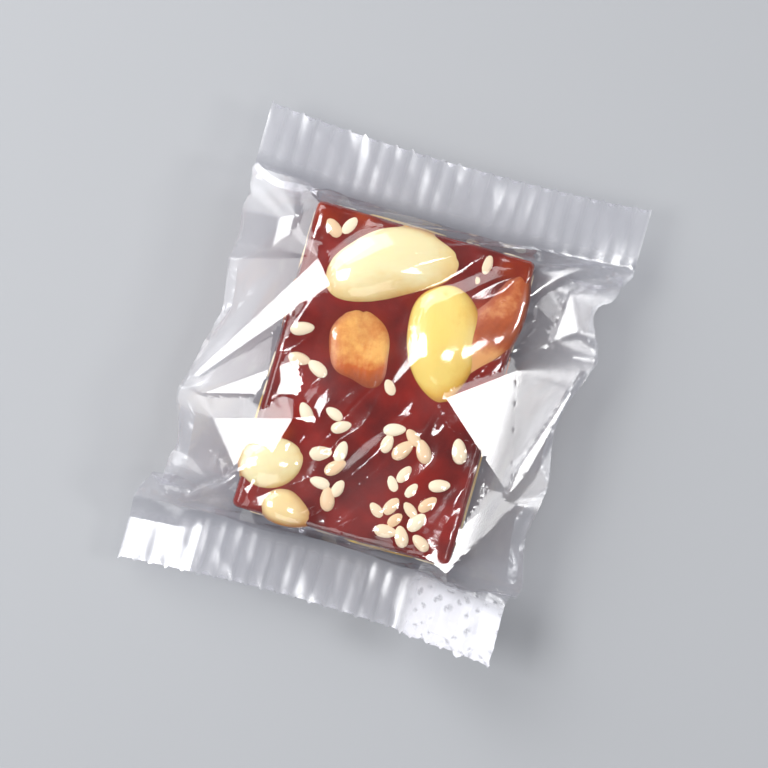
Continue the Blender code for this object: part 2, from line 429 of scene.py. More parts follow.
@dataclass(frozen=True)
class PeanutFinish:
    """Skinned, roasted peanut: a smooth waxy seed leaf, browner where it met the pan.

    The attribute toast says how brown it is, partly as painted shade: darker at its foot and on
    one side, paler on the other. The attribute rise says how many millimetres it stands out of
    the jelly; its foot takes an amber stain there, partly syrup and partly painted contact shade.
    It has the soft satin of nut oil.
    """

    name: str
    pale: str
    mid: str
    toast: str
    # The stain colour is partly syrup stain and partly painted contact shade at the foot, where the
    # half meets the jelly.
    stain: str
    stain_and_shade_foot_mm: float
    roughness: float = 0.4
    freckles: float = 0.3
    freckle_mm: float = 1.1
    vein_mm: float = 0.8
    vein_stretch: float = 0.22

    def material(self) -> bpy.types.Material:
        """Build the nut's material.

        Returns:
            The material.
        """
        material, tree = new_material(self.name)
        form = add_node(tree, "Attribute", attribute_name="form").outputs["Vector"]
        toast = add_node(tree, "Attribute", attribute_name="toast")
        freckles = add_node(tree, "TexNoise", {
            "Vector": form, "Scale": 1.0 / (self.freckle_mm * MM), "Detail": 5.0,
            "Roughness": 0.65,
        })
        uneven = add_node(tree, "Math", {
            0: freckles.outputs["Fac"], 1: self.freckles, 2: toast.outputs["Fac"],
        }, operation="MULTIPLY_ADD", use_clamp=True)
        skin = add_node(tree, "ValToRGB", {"Fac": uneven.outputs[0]})
        set_ramp(skin, ((0.3, self.pale), (0.58, self.mid), (0.95, self.toast)))
        # Painted contact shade with syrup stain: the lower the surface lies by the jelly, the more
        # it takes the stain colour.
        rise = add_node(tree, "Attribute", attribute_name="rise")
        edge = add_node(tree, "MapRange", {
            "Value": rise.outputs["Fac"], "From Min": -0.1, "From Max": self.stain_and_shade_foot_mm,
            "To Min": 0.8, "To Max": 0.0,
        })
        colour = add_node(tree, "Mix", {
            0: edge.outputs["Result"], 6: skin.outputs["Color"], 7: linear(self.stain),
        }, data_type="RGBA")
        along = add_node(tree, "Mapping", {"Vector": form, "Scale": (self.vein_stretch, 1.0, 1.0)})
        veins = add_node(tree, "TexNoise", {
            "Vector": along.outputs[0], "Scale": 1.0 / (self.vein_mm * MM), "Detail": 4.0,
        })
        bump = add_node(tree, "Bump", {
            "Height": veins.outputs["Fac"], "Strength": 0.45, "Distance": 0.14 * MM,
        })
        shader = add_node(tree, "BsdfPrincipled", {
            "Base Color": colour.outputs[2], "Roughness": self.roughness, "IOR": 1.47,
            "Subsurface Weight": 0.3, "Subsurface Scale": 1.2 * MM,
            "Subsurface Radius": (1.0, 0.6, 0.25), "Normal": bump.outputs["Normal"],
        })
        add_node(tree, "OutputMaterial", {"Surface": shader.outputs["BSDF"]})
        return material


# Each: name, pale, mid, toast and stain colours, and how many millimetres up the half the stain and
# painted contact shade reach.
NUT_FINISHES = {
    Tone.CREAM: PeanutFinish("blanched_peanut", "faebb8", "f2d38e", "d99a48", "b8702a", 0.5),
    Tone.GOLD: PeanutFinish("golden_peanut", "fbdc78", "f0bd4c", "cc842c", "b0621c", 0.6),
    Tone.AMBER: PeanutFinish(
        "candied_peanut", "f6bc68", "cc6414", "96400e", "7e280a", 0.35,
        roughness=0.35, freckles=0.45,
    ),
    Tone.RUST: PeanutFinish(
        "glazed_peanut", "f0b070", "ba5a28", "8a3a16", "74240a", 0.3,
        roughness=0.3, freckles=0.45,
    ),
    Tone.TAN: PeanutFinish("toasted_peanut", "f8dca0", "e9bb6e", "c98640", "a05a24", 0.5),
}


@dataclass(frozen=True)
class SesameFinish:
    """Hulled white sesame, lightly toasted: cream with a pinkish tan, satin."""

    pale: str = "fff3d4"
    toast: str = "eec08c"
    stain: str = "b06a36"
    grain_mm: float = 0.35

    def material(self) -> bpy.types.Material:
        """Build the seeds' material, which reads each seed's own toast.

        Returns:
            The material.
        """
        material, tree = new_material("hulled_sesame")
        place = add_node(tree, "TexCoord").outputs["Object"]
        toast = add_node(tree, "Attribute", attribute_name="toast")
        colour = add_node(tree, "ValToRGB", {"Fac": toast.outputs["Fac"]})
        set_ramp(colour, ((0.0, self.pale), (0.7, self.toast), (1.0, self.stain)))
        grain = add_node(tree, "TexNoise", {
            "Vector": place, "Scale": 1.0 / (self.grain_mm * MM), "Detail": 2.0,
        })
        bump = add_node(tree, "Bump", {
            "Height": grain.outputs["Fac"], "Strength": 0.3, "Distance": 0.05 * MM,
        })
        shader = add_node(tree, "BsdfPrincipled", {
            "Base Color": colour.outputs["Color"], "Roughness": 0.4, "IOR": 1.47,
            "Normal": bump.outputs["Normal"],
        })
        add_node(tree, "OutputMaterial", {"Surface": shader.outputs["BSDF"]})
        return material


@dataclass(frozen=True)
class FilmFinish:
    """Clear polypropylene film, cast and stretched thin, then crumpled by handling.

    It is see-through face on, mirror-like at a slant and on its folds, and slightly milky, made
    milkier as painted sheen and highlight on the gussets and the knot.
    """

    clear: str = "f8f8fa"
    gloss: str = "ffffff"
    milk_and_sheen: str = "eeeef4"
    mirror_share: float = 0.085
    mirror_rise: float = 4.0
    clear_haze: float = 0.003
    cloud_haze: float = 0.022
    cloud_mm: float = 9.0
    gloss_roughness: float = 0.1
    pressed_roughness: float = 2.6
    crinkle_mm: float = 1.6

    def material(self) -> bpy.types.Material:
        """Build the film's material.

        Returns:
            The material.
        """
        material, tree = new_material("polypropylene_film")
        place = add_node(tree, "TexCoord").outputs["Object"]
        crinkle = add_node(tree, "TexNoise", {
            "Vector": place, "Scale": 1.0 / (self.crinkle_mm * MM), "Detail": 4.0,
            "Roughness": 0.55,
        })
        bump = add_node(tree, "Bump", {
            "Height": crinkle.outputs["Fac"], "Strength": 0.5, "Distance": 0.04 * MM,
        })
        clear = add_node(tree, "BsdfTransparent", {"Color": linear(self.clear)})
        # This reads the film's milkiness: heat-seal whitening, and painted sheen and highlight on
        # the gussets and the knot.
        milk_and_sheen_share = add_node(tree, "Attribute", attribute_name="milk_and_sheen")
        rough = add_node(tree, "Math", {
            0: milk_and_sheen_share.outputs["Fac"], 1: self.pressed_roughness, 2: self.gloss_roughness,
        }, operation="MULTIPLY_ADD", use_clamp=True)
        gloss = add_node(tree, "BsdfAnisotropic", {
            "Color": linear(self.gloss), "Roughness": rough.outputs[0],
            "Normal": bump.outputs["Normal"],
        })
        milk_and_sheen = add_node(tree, "BsdfDiffuse", {"Color": linear(self.milk_and_sheen)})
        slant = add_node(tree, "LayerWeight", {"Blend": 0.5, "Normal": bump.outputs["Normal"]})
        rise = add_node(tree, "Math", {
            0: slant.outputs["Facing"], 1: self.mirror_rise,
        }, operation="POWER")
        mirror = add_node(tree, "Math", {
            0: rise.outputs[0], 1: 1.0 - self.mirror_share, 2: self.mirror_share,
        }, operation="MULTIPLY_ADD", use_clamp=True)
        seen = add_node(tree, "MixShader", {
            0: mirror.outputs[0], 1: clear.outputs[0], 2: gloss.outputs[0],
        })
        cloud = add_node(tree, "TexNoise", {
            "Vector": place, "Scale": 1.0 / (self.cloud_mm * MM), "Detail": 1.0,
        })
        cloudy = add_node(tree, "MapRange", {
            "Value": cloud.outputs["Fac"], "From Min": 0.42, "From Max": 0.62,
            "To Min": self.clear_haze, "To Max": self.cloud_haze,
        })
        # The milky white added here is partly real cloudiness and partly painted sheen and
        # highlight.
        haze_and_sheen = add_node(tree, "Math", {
            0: milk_and_sheen_share.outputs["Fac"], 1: cloudy.outputs["Result"],
        }, operation="ADD", use_clamp=True)
        film = add_node(tree, "MixShader", {
            0: haze_and_sheen.outputs[0], 1: seen.outputs[0], 2: milk_and_sheen.outputs[0],
        })
        add_node(tree, "OutputMaterial", {"Surface": film.outputs[0]})
        return material


@dataclass
class Tablet:
    """The knife-cut jelly tablet, with a meniscus round what stands out of it.

    Each of its glows is a nut under the skin: x, y and radius in millimetres, and strength.
    """

    width: float = 27.0 * MM
    length: float = 38.0 * MM
    height: float = 11.6 * MM
    foot: float = 0.3 * MM
    flare: float = 0.5 * MM
    flared_part: float = 0.9
    edge_radius: float = 0.8 * MM
    cuts: int = 70
    rim: float = 0.9 * MM
    rim_foot: float = 1.0 * MM
    meniscus: float = 0.35 * MM
    meniscus_share: float = 0.3
    meniscus_reach: float = 0.35 * MM
    meniscus_spread: float = 0.15
    wobble_size: float = 6.0 * MM
    top_wobble: float = 0.14 * MM
    side_wobble: float = 0.07 * MM
    knife_size: float = 2.2 * MM
    knife_drag: float = 0.05 * MM
    cut_part: float = 0.97
    glow_fall: float = 1.8
    glow_uneven: float = 0.35
    glow_size: float = 2.5 * MM
    glows: tuple[tuple[float, float, float, float], ...] = (
        (-4.1, 3.9, 5.4, 0.5), (10.0, 9.6, 5.8, 0.5), (-10.3, -8.9, 2.4, 0.5),
        (-9.0, -14.0, 4.6, 0.35), (1.5, 13.0, 6.0, 0.3), (6.0, 5.0, 6.5, 0.3),
        (-7.6, 18.0, 2.6, 0.55), (10.8, 16.8, 2.6, 0.5), (-12.6, 18.2, 3.6, 0.5),
        (12.8, 18.0, 3.4, 0.5),
    )

    @property
    def top(self) -> float:
        """Height of the tablet's top above the floor."""
        return self.foot + self.height

    @property
    def half(self) -> np.ndarray:
        """Half its sizes."""
        return np.array((self.width, self.length, self.height)) / 2

    def block(self) -> tuple[np.ndarray, np.ndarray]:
        """A closed block of many small faces with rounded edges, standing on its foot.

        Returns:
            Its points and its faces.
        """
        shape = bmesh.new()
        bmesh.ops.create_cube(shape, size=2.0)
        bmesh.ops.subdivide_edges(
            shape, edges=shape.edges[:], cuts=self.cuts, use_grid_fill=True,
        )
        shape.verts.ensure_lookup_table()
        unit = np.array([vert.co for vert in shape.verts])
        faces = np.array([[vert.index for vert in face.verts] for face in shape.faces])
        shape.free()
        half = self.half
        points = np.sin(unit * math.pi / 2) * half
        inner = np.clip(points, -(half - self.edge_radius), half - self.edge_radius)
        outward = points - inner
        outward /= np.linalg.norm(outward, axis=1, keepdims=True)
        points = inner + self.edge_radius * outward
        share = (points[:, 2:3] + half[2]) / self.height
        points[:, :2] += np.sign(points[:, :2]) * self.flare * (1.0 - share) * (
            np.abs(points[:, :2]) > half[:2] * self.flared_part
        )
        points[:, 2] += half[2] + self.foot
        return points, faces

    def build(self, material: bpy.types.Material, bumps: np.ndarray) -> bpy.types.Object:
        """Make the tablet.

        Args:
            material: The jelly's material.
            bumps: Centre x and y, half length, half width, turn, rise and bow of each
                nut and seed.

        Returns:
            The tablet.
        """
        points, faces = self.block()
        on_top = smooth_step((points[:, 2] - (self.top - self.rim_foot)) / self.rim)
        on_side = 1.0 - smooth_step((points[:, 2] - (self.top - self.rim)) / self.rim)
        wobble = smooth_noise(points, self.wobble_size, draw=3)
        drag = smooth_noise(points * (1.0, 1.0, 3.0), self.knife_size, draw=5) * self.knife_drag
        points[:, 2] += on_top * wobble * self.top_wobble
        middle = points[:, :2] / self.half[:2]
        outer = np.abs(middle) > self.cut_part
        uneven = on_side * (wobble * self.side_wobble + drag)
        points[:, :2] += np.sign(middle) * outer * uneven[:, None]
        lift = np.zeros(len(points))
        for x, y, half_length, half_width, turn, rise, bow in bumps:
            cos, sin = math.cos(turn), math.sin(turn)
            off_x, off_y = points[:, 0] - x, points[:, 1] - y
            along = (off_x * cos + off_y * sin) / half_length
            across = (off_y * cos - off_x * sin + bow * along ** 2) / half_width
            gap = np.maximum(np.hypot(along, across) - 1.0, 0.0) * half_width
            reach = self.meniscus_reach + self.meniscus_spread * half_width
            height = min(self.meniscus, self.meniscus_share * rise)
            lift = np.maximum(lift, height * np.exp(-(gap / reach) ** 2))
        points[:, 2] += lift * on_top
        tablet = make_object("jelly_tablet", points, faces, material)
        keep(tablet, "glow", self.glow(points))
        return tablet

    def on_face(self, face: Face, along: float, up: float) -> tuple[np.ndarray, np.ndarray]:
        """Where a place on one of the faces is, and which way the face lies there.

        Args:
            face: The face.
            along: How far along the face, from its middle.
            up: How far up the face, from its middle.

        Returns:
            The place, and a matrix whose columns lie along, up and out of the face.
        """
        out = np.array(face.value)
        rise = np.array((0.0, 1.0, 0.0) if face is Face.UNDER else (0.0, 0.0, 1.0))
        side = np.cross(rise, out)
        middle = np.array((0.0, 0.0, self.foot + self.height / 2))
        splay = 0.0 if face is Face.UNDER else self.flare * (0.5 - up / self.height)
        place = middle + out * (self.half + splay) + side * along + rise * up
        return place, np.stack((side, rise, out), axis=1)

    def glow(self, points: np.ndarray) -> np.ndarray:
        """How strongly the jelly is lit from a nut under its skin.

        Args:
            points: Places on the jelly, one row each.

        Returns:
            One value for each place, from 0 to 1.
        """
        value = np.zeros(len(points))
        for x, y, radius, strength in self.glows:
            distance = np.hypot(points[:, 0] - x * MM, points[:, 1] - y * MM) / (radius * MM)
            value = np.maximum(value, strength * np.exp(-self.glow_fall * distance ** 2))
        uneven = 1.0 + self.glow_uneven * smooth_noise(points, self.glow_size, draw=11)
        return np.clip(value * uneven, 0.0, 1.0)


@dataclass
class Peanuts:
    """Peanut halves, round side up, sunk in the tablet's top up to their shoulders."""

    tablet: Tablet
    beak: float = 0.3 * MM
    beak_part: float = 0.09
    beak_turn: float = 0.6
    groove: float = 0.05 * MM
    groove_place: float = 0.05
    groove_part: float = 0.06
    lump: float = 3.6 * MM
    unevenness: float = 0.16 * MM
    candied_unevenness: float = 0.38 * MM
    cut_thickness: float = 0.8
    cut_proud: float = 0.14 * MM
    cut_rise: float = 0.25
    # The foot and one side of a half are made browner and the other side paler, partly as painted
    # shade: the foot where it meets the jelly, the side as if turned from the light.
    cut_browned_and_shaded_turn: float = 40.0
    foot_start: float = 0.15
    foot_part: float = 0.6
    patch: float = 3.4 * MM
    all_over: float = 0.14
    foot_toast_and_shade: float = 0.42
    side_toast_and_shade: float = 0.2
    candied_side_toast_and_shade: float = 0.3
    patch_toast: float = 0.12
    candied_toast: float = 0.26
    candied_patch_toast: float = 0.2
    sides: int = 64
    rings: int = 44

    def pod(
        self, length: float, width: float, thickness: float, bow: float, unevenness: float,
        draw: int,
    ) -> tuple[np.ndarray, list]:
        """The form of one half: an egg with a blunt and a pointed end, slightly uneven.

        Args:
            length: Its length in millimetres.
            width: Its width in millimetres.
            thickness: Its whole thickness in millimetres.
            bow: How far its ends bend to one side, in millimetres.
            unevenness: How far its surface wanders.
            draw: Number that picks its unevenness.

        Returns:
            Its points and its faces.
        """
        unit, faces = make_ball(self.sides, self.rings)
        narrow = 1.0 - NUT_TAPER * unit[:, 0:1]
        form = unit * np.array((length, width, thickness)) * MM
        form[:, 1:] *= narrow
        form[:, 1] -= bow * MM * (2.0 * unit[:, 0]) ** 2
        tip = np.exp(-((unit[:, 0] - 0.5) / self.beak_part) ** 2)
        form[:, 0] += tip * self.beak
        form[:, 1] += tip * self.beak * self.beak_turn
        groove = np.exp(-((unit[:, 1] - self.groove_place) / self.groove_part) ** 2)
        groove = groove * smooth_step(unit[:, 0] * 3.0)
        form[:, 2] -= groove * self.groove * np.sign(unit[:, 2])
        uneven = smooth_noise(form, self.lump, draw) * unevenness
        form += unit / np.linalg.norm(unit, axis=1, keepdims=True) * uneven[:, None]
        return form, faces

    def toast(self, form: np.ndarray, nut: Half, draw: int) -> np.ndarray:
        """How brown a half is, partly as painted shade: most at its foot, where it meets the jelly,
        and on one side, less on the other, and in patches.

        Args:
            form: Its points in its own frame.
            nut: The half.
            draw: Number that picks its patches.

        Returns:
            One value for each point, mostly between 0 and 0.9.
        """
        browned_and_shaded_turn = nut.browned_and_shaded_turn if isinstance(nut, Nut) else self.cut_browned_and_shaded_turn
        # Painted shade, in part: one side of the half is made browner and the other paler.
        towards = math.radians(browned_and_shaded_turn - nut.turn)
        side = form[:, 0] * math.cos(towards) + form[:, 1] * math.sin(towards)
        side /= np.abs(side).max()
        rise = form[:, 2] / form[:, 2].max()
        # Painted contact shade, in part: the foot, where the half meets the jelly, is made browner.
        foot = 1.0 - smooth_step((rise - self.foot_start) / self.foot_part)
        all_over, side_toast_and_shade, patch_toast = self.all_over, self.side_toast_and_shade, self.patch_toast
        if nut.tone in CANDIED:
            all_over, side_toast_and_shade = self.candied_toast, self.candied_side_toast_and_shade
            patch_toast = self.candied_patch_toast
        patches = smooth_noise(form, self.patch, draw + 70)
        toast = all_over + self.foot_toast_and_shade * foot + side_toast_and_shade * side + patch_toast * patches
        return np.clip(toast, 0.0, 1.0)

    def on_top(self, nut: Nut, draw: int) -> tuple[np.ndarray, np.ndarray, list]:
        """Set a half in the tablet's top.

        Args:
            nut: The half.
            draw: Number that picks its unevenness.

        Returns:
            Its points in its own frame, the same points in place, and its faces.
        """
        thickness = 2.0 * (nut.proud + NUT_SUNK)
        uneven = self.candied_unevenness if nut.tone in CANDIED else self.unevenness
        form, faces = self.pod(nut.length, nut.width, thickness, nut.bow, uneven, draw)
        turn = np.array(Matrix.Rotation(math.radians(nut.turn), 3, "Z"))
        middle = np.array((nut.x * MM, nut.y * MM, self.tablet.top - NUT_SUNK * MM))
        return form, form @ turn.T + middle, faces

    def in_face(self, nut: CutNut, draw: int) -> tuple[np.ndarray, np.ndarray, list]:
        """Set a half in a face, cut off flush with it.

        Args:
            nut: The half.
            draw: Number that picks its unevenness.

        Returns:
            Its points in its own frame, the same points in place, and its faces.
        """
        thickness = nut.width * self.cut_thickness
        form, faces = self.pod(nut.length, nut.width, thickness, 0.0, self.unevenness, draw)
        form[:, 2] = np.minimum(form[:, 2], nut.depth * MM + self.cut_proud)
        turn = np.array(Matrix.Rotation(math.radians(nut.turn), 3, "Z"))
        place, lie = self.tablet.on_face(nut.face, nut.x * MM, nut.y * MM)
        middle = place - lie[:, 2] * nut.depth * MM
        return form, form @ turn.T @ lie.T + middle, faces

    def build(self) -> list[bpy.types.Object]:
        """Make all the halves.

        Returns:
            One object for each half.
        """
        materials = {tone: finish.material() for tone, finish in NUT_FINISHES.items()}
        pieces = []
        for draw, nut in enumerate((*NUTS, *CUT_NUTS), start=21):
            if isinstance(nut, Nut):
                form, points, faces = self.on_top(nut, draw)
                rise = (points[:, 2] - self.tablet.top) / MM
            else:
                form, points, faces = self.in_face(nut, draw)
                rise = np.full(len(points), self.cut_rise)
            half = make_object("peanut_" + nut.name, points, faces, materials[nut.tone])
            keep(half, "form", form + draw * MM)
            keep(half, "toast", self.toast(form, nut, draw))
            keep(half, "rise", rise)
            pieces.append(half)
        return pieces


@dataclass
class Sesame:
    """Sesame seeds, lying flat and half sunk in the jelly.

    Each cluster is the x and y of its middle, its half width and half length in
    millimetres, and its count. The strays are the counts in the sides and the underside.
    """

    tablet: Tablet
    length: float = 3.0 * MM
    width: float = 1.75 * MM
    thickness: float = 0.95 * MM
    sunk: float = 0.1 * MM
    taper: float = 0.35
    gap: float = 1.75 * MM
    edge_margin: float = 1.6 * MM
    side_margin: float = 4.0 * MM
    rise_margin: float = 5.2 * MM
    tilt: float = 0.25
    smallest: float = 0.9
    largest: float = 1.12
    most_toast: float = 0.55
    sides: int = 14
    rings: int = 10
    draw: int = 7
    tries: int = 400
    clusters: tuple[tuple[float, float, float, float, int], ...] = (
        (-4.6, -12.6, 2.9, 3.8, 9), (7.0, -13.6, 3.3, 4.2, 12), (3.5, -5.6, 9.0, 1.5, 6),
        (-10.2, 17.0, 1.3, 0.6, 2), (7.4, 16.2, 2.6, 1.0, 2), (-9.6, 2.4, 1.6, 3.4, 3),
        (1.3, 0.4, 0.8, 0.5, 1), (0.0, -9.6, 9.0, 7.0, 4),
    )
    strays: tuple[tuple[Face, int], ...] = (
        (Face.LEFT, 9), (Face.RIGHT, 9), (Face.FRONT, 6), (Face.BACK, 6), (Face.UNDER, 22),
    )
    stray_depth: float = 0.15 * MM
    stray_proud: float = 0.14 * MM
    places: list[tuple[float, float, float]] = field(default_factory=list)

    @staticmethod
    def touches(x: float, y: float, others: list, gap: float) -> bool:
        """Whether a place is nearer than the gap to one of the others, each x and y first."""
        return any(math.hypot(x - other[0], y - other[1]) < gap for other in others)

    def scatter(self) -> None:
        """Choose the places and turns of the seeds, cluster by cluster, none touching."""
        draw = random.Random(self.draw)
        limit_x = self.tablet.width / 2 - self.edge_margin
        limit_y = self.tablet.length / 2 - self.edge_margin
        for middle_x, middle_y, half_width, half_length, count in self.clusters:
            placed = 0
            for _ in range(self.tries):
                x = (middle_x + half_width * draw.uniform(-1.0, 1.0)) * MM
                y = (middle_y + half_length * draw.uniform(-1.0, 1.0)) * MM
                turn = draw.uniform(0.0, math.pi)
                over_nut = any(nut.covers(x, y, self.length / 3) for nut in NUTS)
                if abs(x) > limit_x or abs(y) > limit_y or over_nut:
                    continue
                if self.touches(x, y, self.places, self.gap):
                    continue
                self.places.append((x, y, turn))
                placed += 1
                if placed == count:
                    break

    def seed(self) -> tuple[np.ndarray, list]:
        """The form of one seed: a flat drop, pointed towards +X.

        Returns:
            Its points and its faces.
        """
        points, faces = make_ball(self.sides, self.rings)
        narrow = 1.0 - self.taper * points[:, 0:1]
        points *= (self.length, self.width, self.thickness)
        points[:, 1:] *= narrow
        return points, faces

    def build(self, material: bpy.types.Material) -> bpy.types.Object:
        """Make all the seeds as one joined mesh.

        Args:
            material: The seeds' material.

        Returns:
            The seeds.
        """
        form, form_faces = self.seed()
        draw = np.random.default_rng(self.draw)
        points = []
        for x, y, turn in self.places:
            tilt = Matrix.Rotation(draw.uniform(-self.tilt, self.tilt), 3, "X")
            size = draw.uniform(self.smallest, self.largest)
            matrix = np.array(Matrix.Rotation(turn, 3, "Z") @ tilt) * size
            place = np.array((x, y, self.tablet.top - self.sunk))
            points.append(form @ matrix.T + place)
        points += self.stray_seeds(form, draw)
        faces, toasts = [], []
        for number in range(len(points)):
            start = number * len(form)
            faces += [[start + corner for corner in face] for face in form_faces]
            toasts.append(np.full(len(form), draw.uniform(0.0, self.most_toast)))
        seeds = make_object("sesame_seeds", np.concatenate(points), faces, material)
        keep(seeds, "toast", np.concatenate(toasts))
        return seeds

    def stray_seeds(self, form: np.ndarray, draw: np.random.Generator) -> list[np.ndarray]:
        """Seeds in the cut sides and the underside, flush with the jelly, none touching.

        Args:
            form: The form of one seed.
            draw: The seeds' random draw.

        Returns:
            The points of each stray seed.
        """
        tablet = self.tablet
        flat = form.copy()
        flat[:, 2] = np.minimum(flat[:, 2], self.stray_depth + self.stray_proud)
        strays = []
        for face, count in self.strays:
            nuts = [nut for nut in CUT_NUTS if nut.face is face]
            reach = tablet.length if face in (Face.LEFT, Face.RIGHT) else tablet.width
            rise = tablet.length if face is Face.UNDER else tablet.height
            spots: list[tuple[float, float]] = []
            for _ in range(self.tries):
                along = draw.uniform(-0.5, 0.5) * (reach - self.side_margin)
                up = draw.uniform(-0.5, 0.5) * (rise - self.rise_margin)
                over_nut = any(nut.covers(along, up, self.length / 2) for nut in nuts)
                if over_nut or self.touches(along, up, spots, self.length):
                    continue
                spots.append((along, up))
                turn = np.array(Matrix.Rotation(draw.uniform(0.0, math.pi), 3, "Z"))
                place, lie = tablet.on_face(face, along, up)
                middle = place - lie[:, 2] * self.stray_depth
                strays.append(flat @ turn.T @ lie.T + middle)
                if len(spots) == count:
                    break
        return strays


@dataclass
class ReachMap:
    """How far the sweet reaches towards one side, over a grid of cells across it."""

    tree: BVHTree
    axis: int
    sign: float
    low: np.ndarray
    high: np.ndarray
    cell: float = 0.25 * MM
    empty: float = -0.1

    def __post_init__(self) -> None:
        """Cast a ray at the sweet through each cell, from outside the side."""
        self.wide, self.tall = (axis for axis in (0, 1, 2) if axis != self.axis)
        counts = np.ceil((self.high - self.low) / self.cell).astype(int) + 1
        self.values = np.full((counts[self.wide], counts[self.tall]), -math.inf)
        inward = Vector((0.0, 0.0, 0.0))
        inward[self.axis] = -self.sign
        start = Vector(self.high if self.sign > 0 else self.low)
        start[self.axis] += self.sign * MM
        for column in range(counts[self.wide]):
            start[self.wide] = self.low[self.wide] + column * self.cell
            for row in range(counts[self.tall]):
                start[self.tall] = self.low[self.tall] + row * self.cell
                hit = self.tree.ray_cast(start, inward)[0]
                if hit:
                    self.values[column, row] = hit[self.axis] * self.sign
        self.values[np.isinf(self.values)] = self.empty

    def at(self, points: np.ndarray) -> np.ndarray:
        """The reach at places, blended between the four nearest cells.

        Args:
            points: Places, one row each.

        Returns:
            One reach for each place.
        """
        limit_wide, limit_tall = np.array(self.values.shape) - 1.001
        column = np.clip((points[:, self.wide] - self.low[self.wide]) / self.cell, 0, limit_wide)
        row = np.clip((points[:, self.tall] - self.low[self.tall]) / self.cell, 0, limit_tall)
        left, under = column.astype(int), row.astype(int)
        share_wide, share_tall = column - left, row - under
        near = self.values[left, under] * (1.0 - share_wide)
        near += self.values[left + 1, under] * share_wide
        far = self.values[left, under + 1] * (1.0 - share_wide)
        far += self.values[left + 1, under + 1] * share_wide
        return near * (1.0 - share_tall) + far * share_tall


@dataclass
class Support:
    """What the film lies on: the tablet with its nuts and seeds, and the floor."""

    tablet: Tablet
    pieces: list[bpy.types.Object]
    clearance: float = 0.12 * MM
    side_clearance: float = 0.3 * MM
    floor_gap: float = 0.06 * MM

    def __post_init__(self) -> None:
        """Map how far the pieces reach upwards, downwards and to each side."""
        points, faces = [], []
        for piece in self.pieces:
            start = len(points)
            points += [vert.co.copy() for vert in piece.data.vertices]
            faces += [[start + corner for corner in face.vertices] for face in piece.data.polygons]
        tree = BVHTree.FromPolygons(points, faces)
        low, high = np.min(points, axis=0), np.max(points, axis=0)
        self.up, self.down = (ReachMap(tree, 2, sign, low, high) for sign in (1.0, -1.0))
        self.sides = {
            (axis, sign): ReachMap(tree, axis, sign, low, high)
            for axis in (0, 1) for sign in (-1.0, 1.0)
        }

    def keep_out(self, points: np.ndarray) -> None:
        """Push the film out of the sweet and off the floor, in place.

        Args:
            points: The film's points, one row each.
        """
        reach = []
        for axis in (0, 1):
            low, high = (self.sides[axis, sign].at(points) for sign in (-1.0, 1.0))
            reach.append(np.where(points[:, axis] > 0.0, high, low) + self.side_clearance)
        top = self.up.at(points) + self.clearance
        foot = self.tablet.foot - self.clearance
        z = points[:, 2]
        depths = np.stack((
            top - z, reach[0] - np.abs(points[:, 0]), reach[1] - np.abs(points[:, 1]), z - foot,
        ))
        nearest = np.where(depths.min(axis=0) > 0.0, depths.argmin(axis=0), -1)
        points[:, 2] = np.where(nearest == 0, top, np.where(nearest == 3, foot, z))
        for axis in (0, 1):
            side = np.sign(points[:, axis])
            points[:, axis] = np.where(nearest == axis + 1, side * reach[axis], points[:, axis])
        np.maximum(points[:, 2], self.floor_gap, out=points[:, 2])


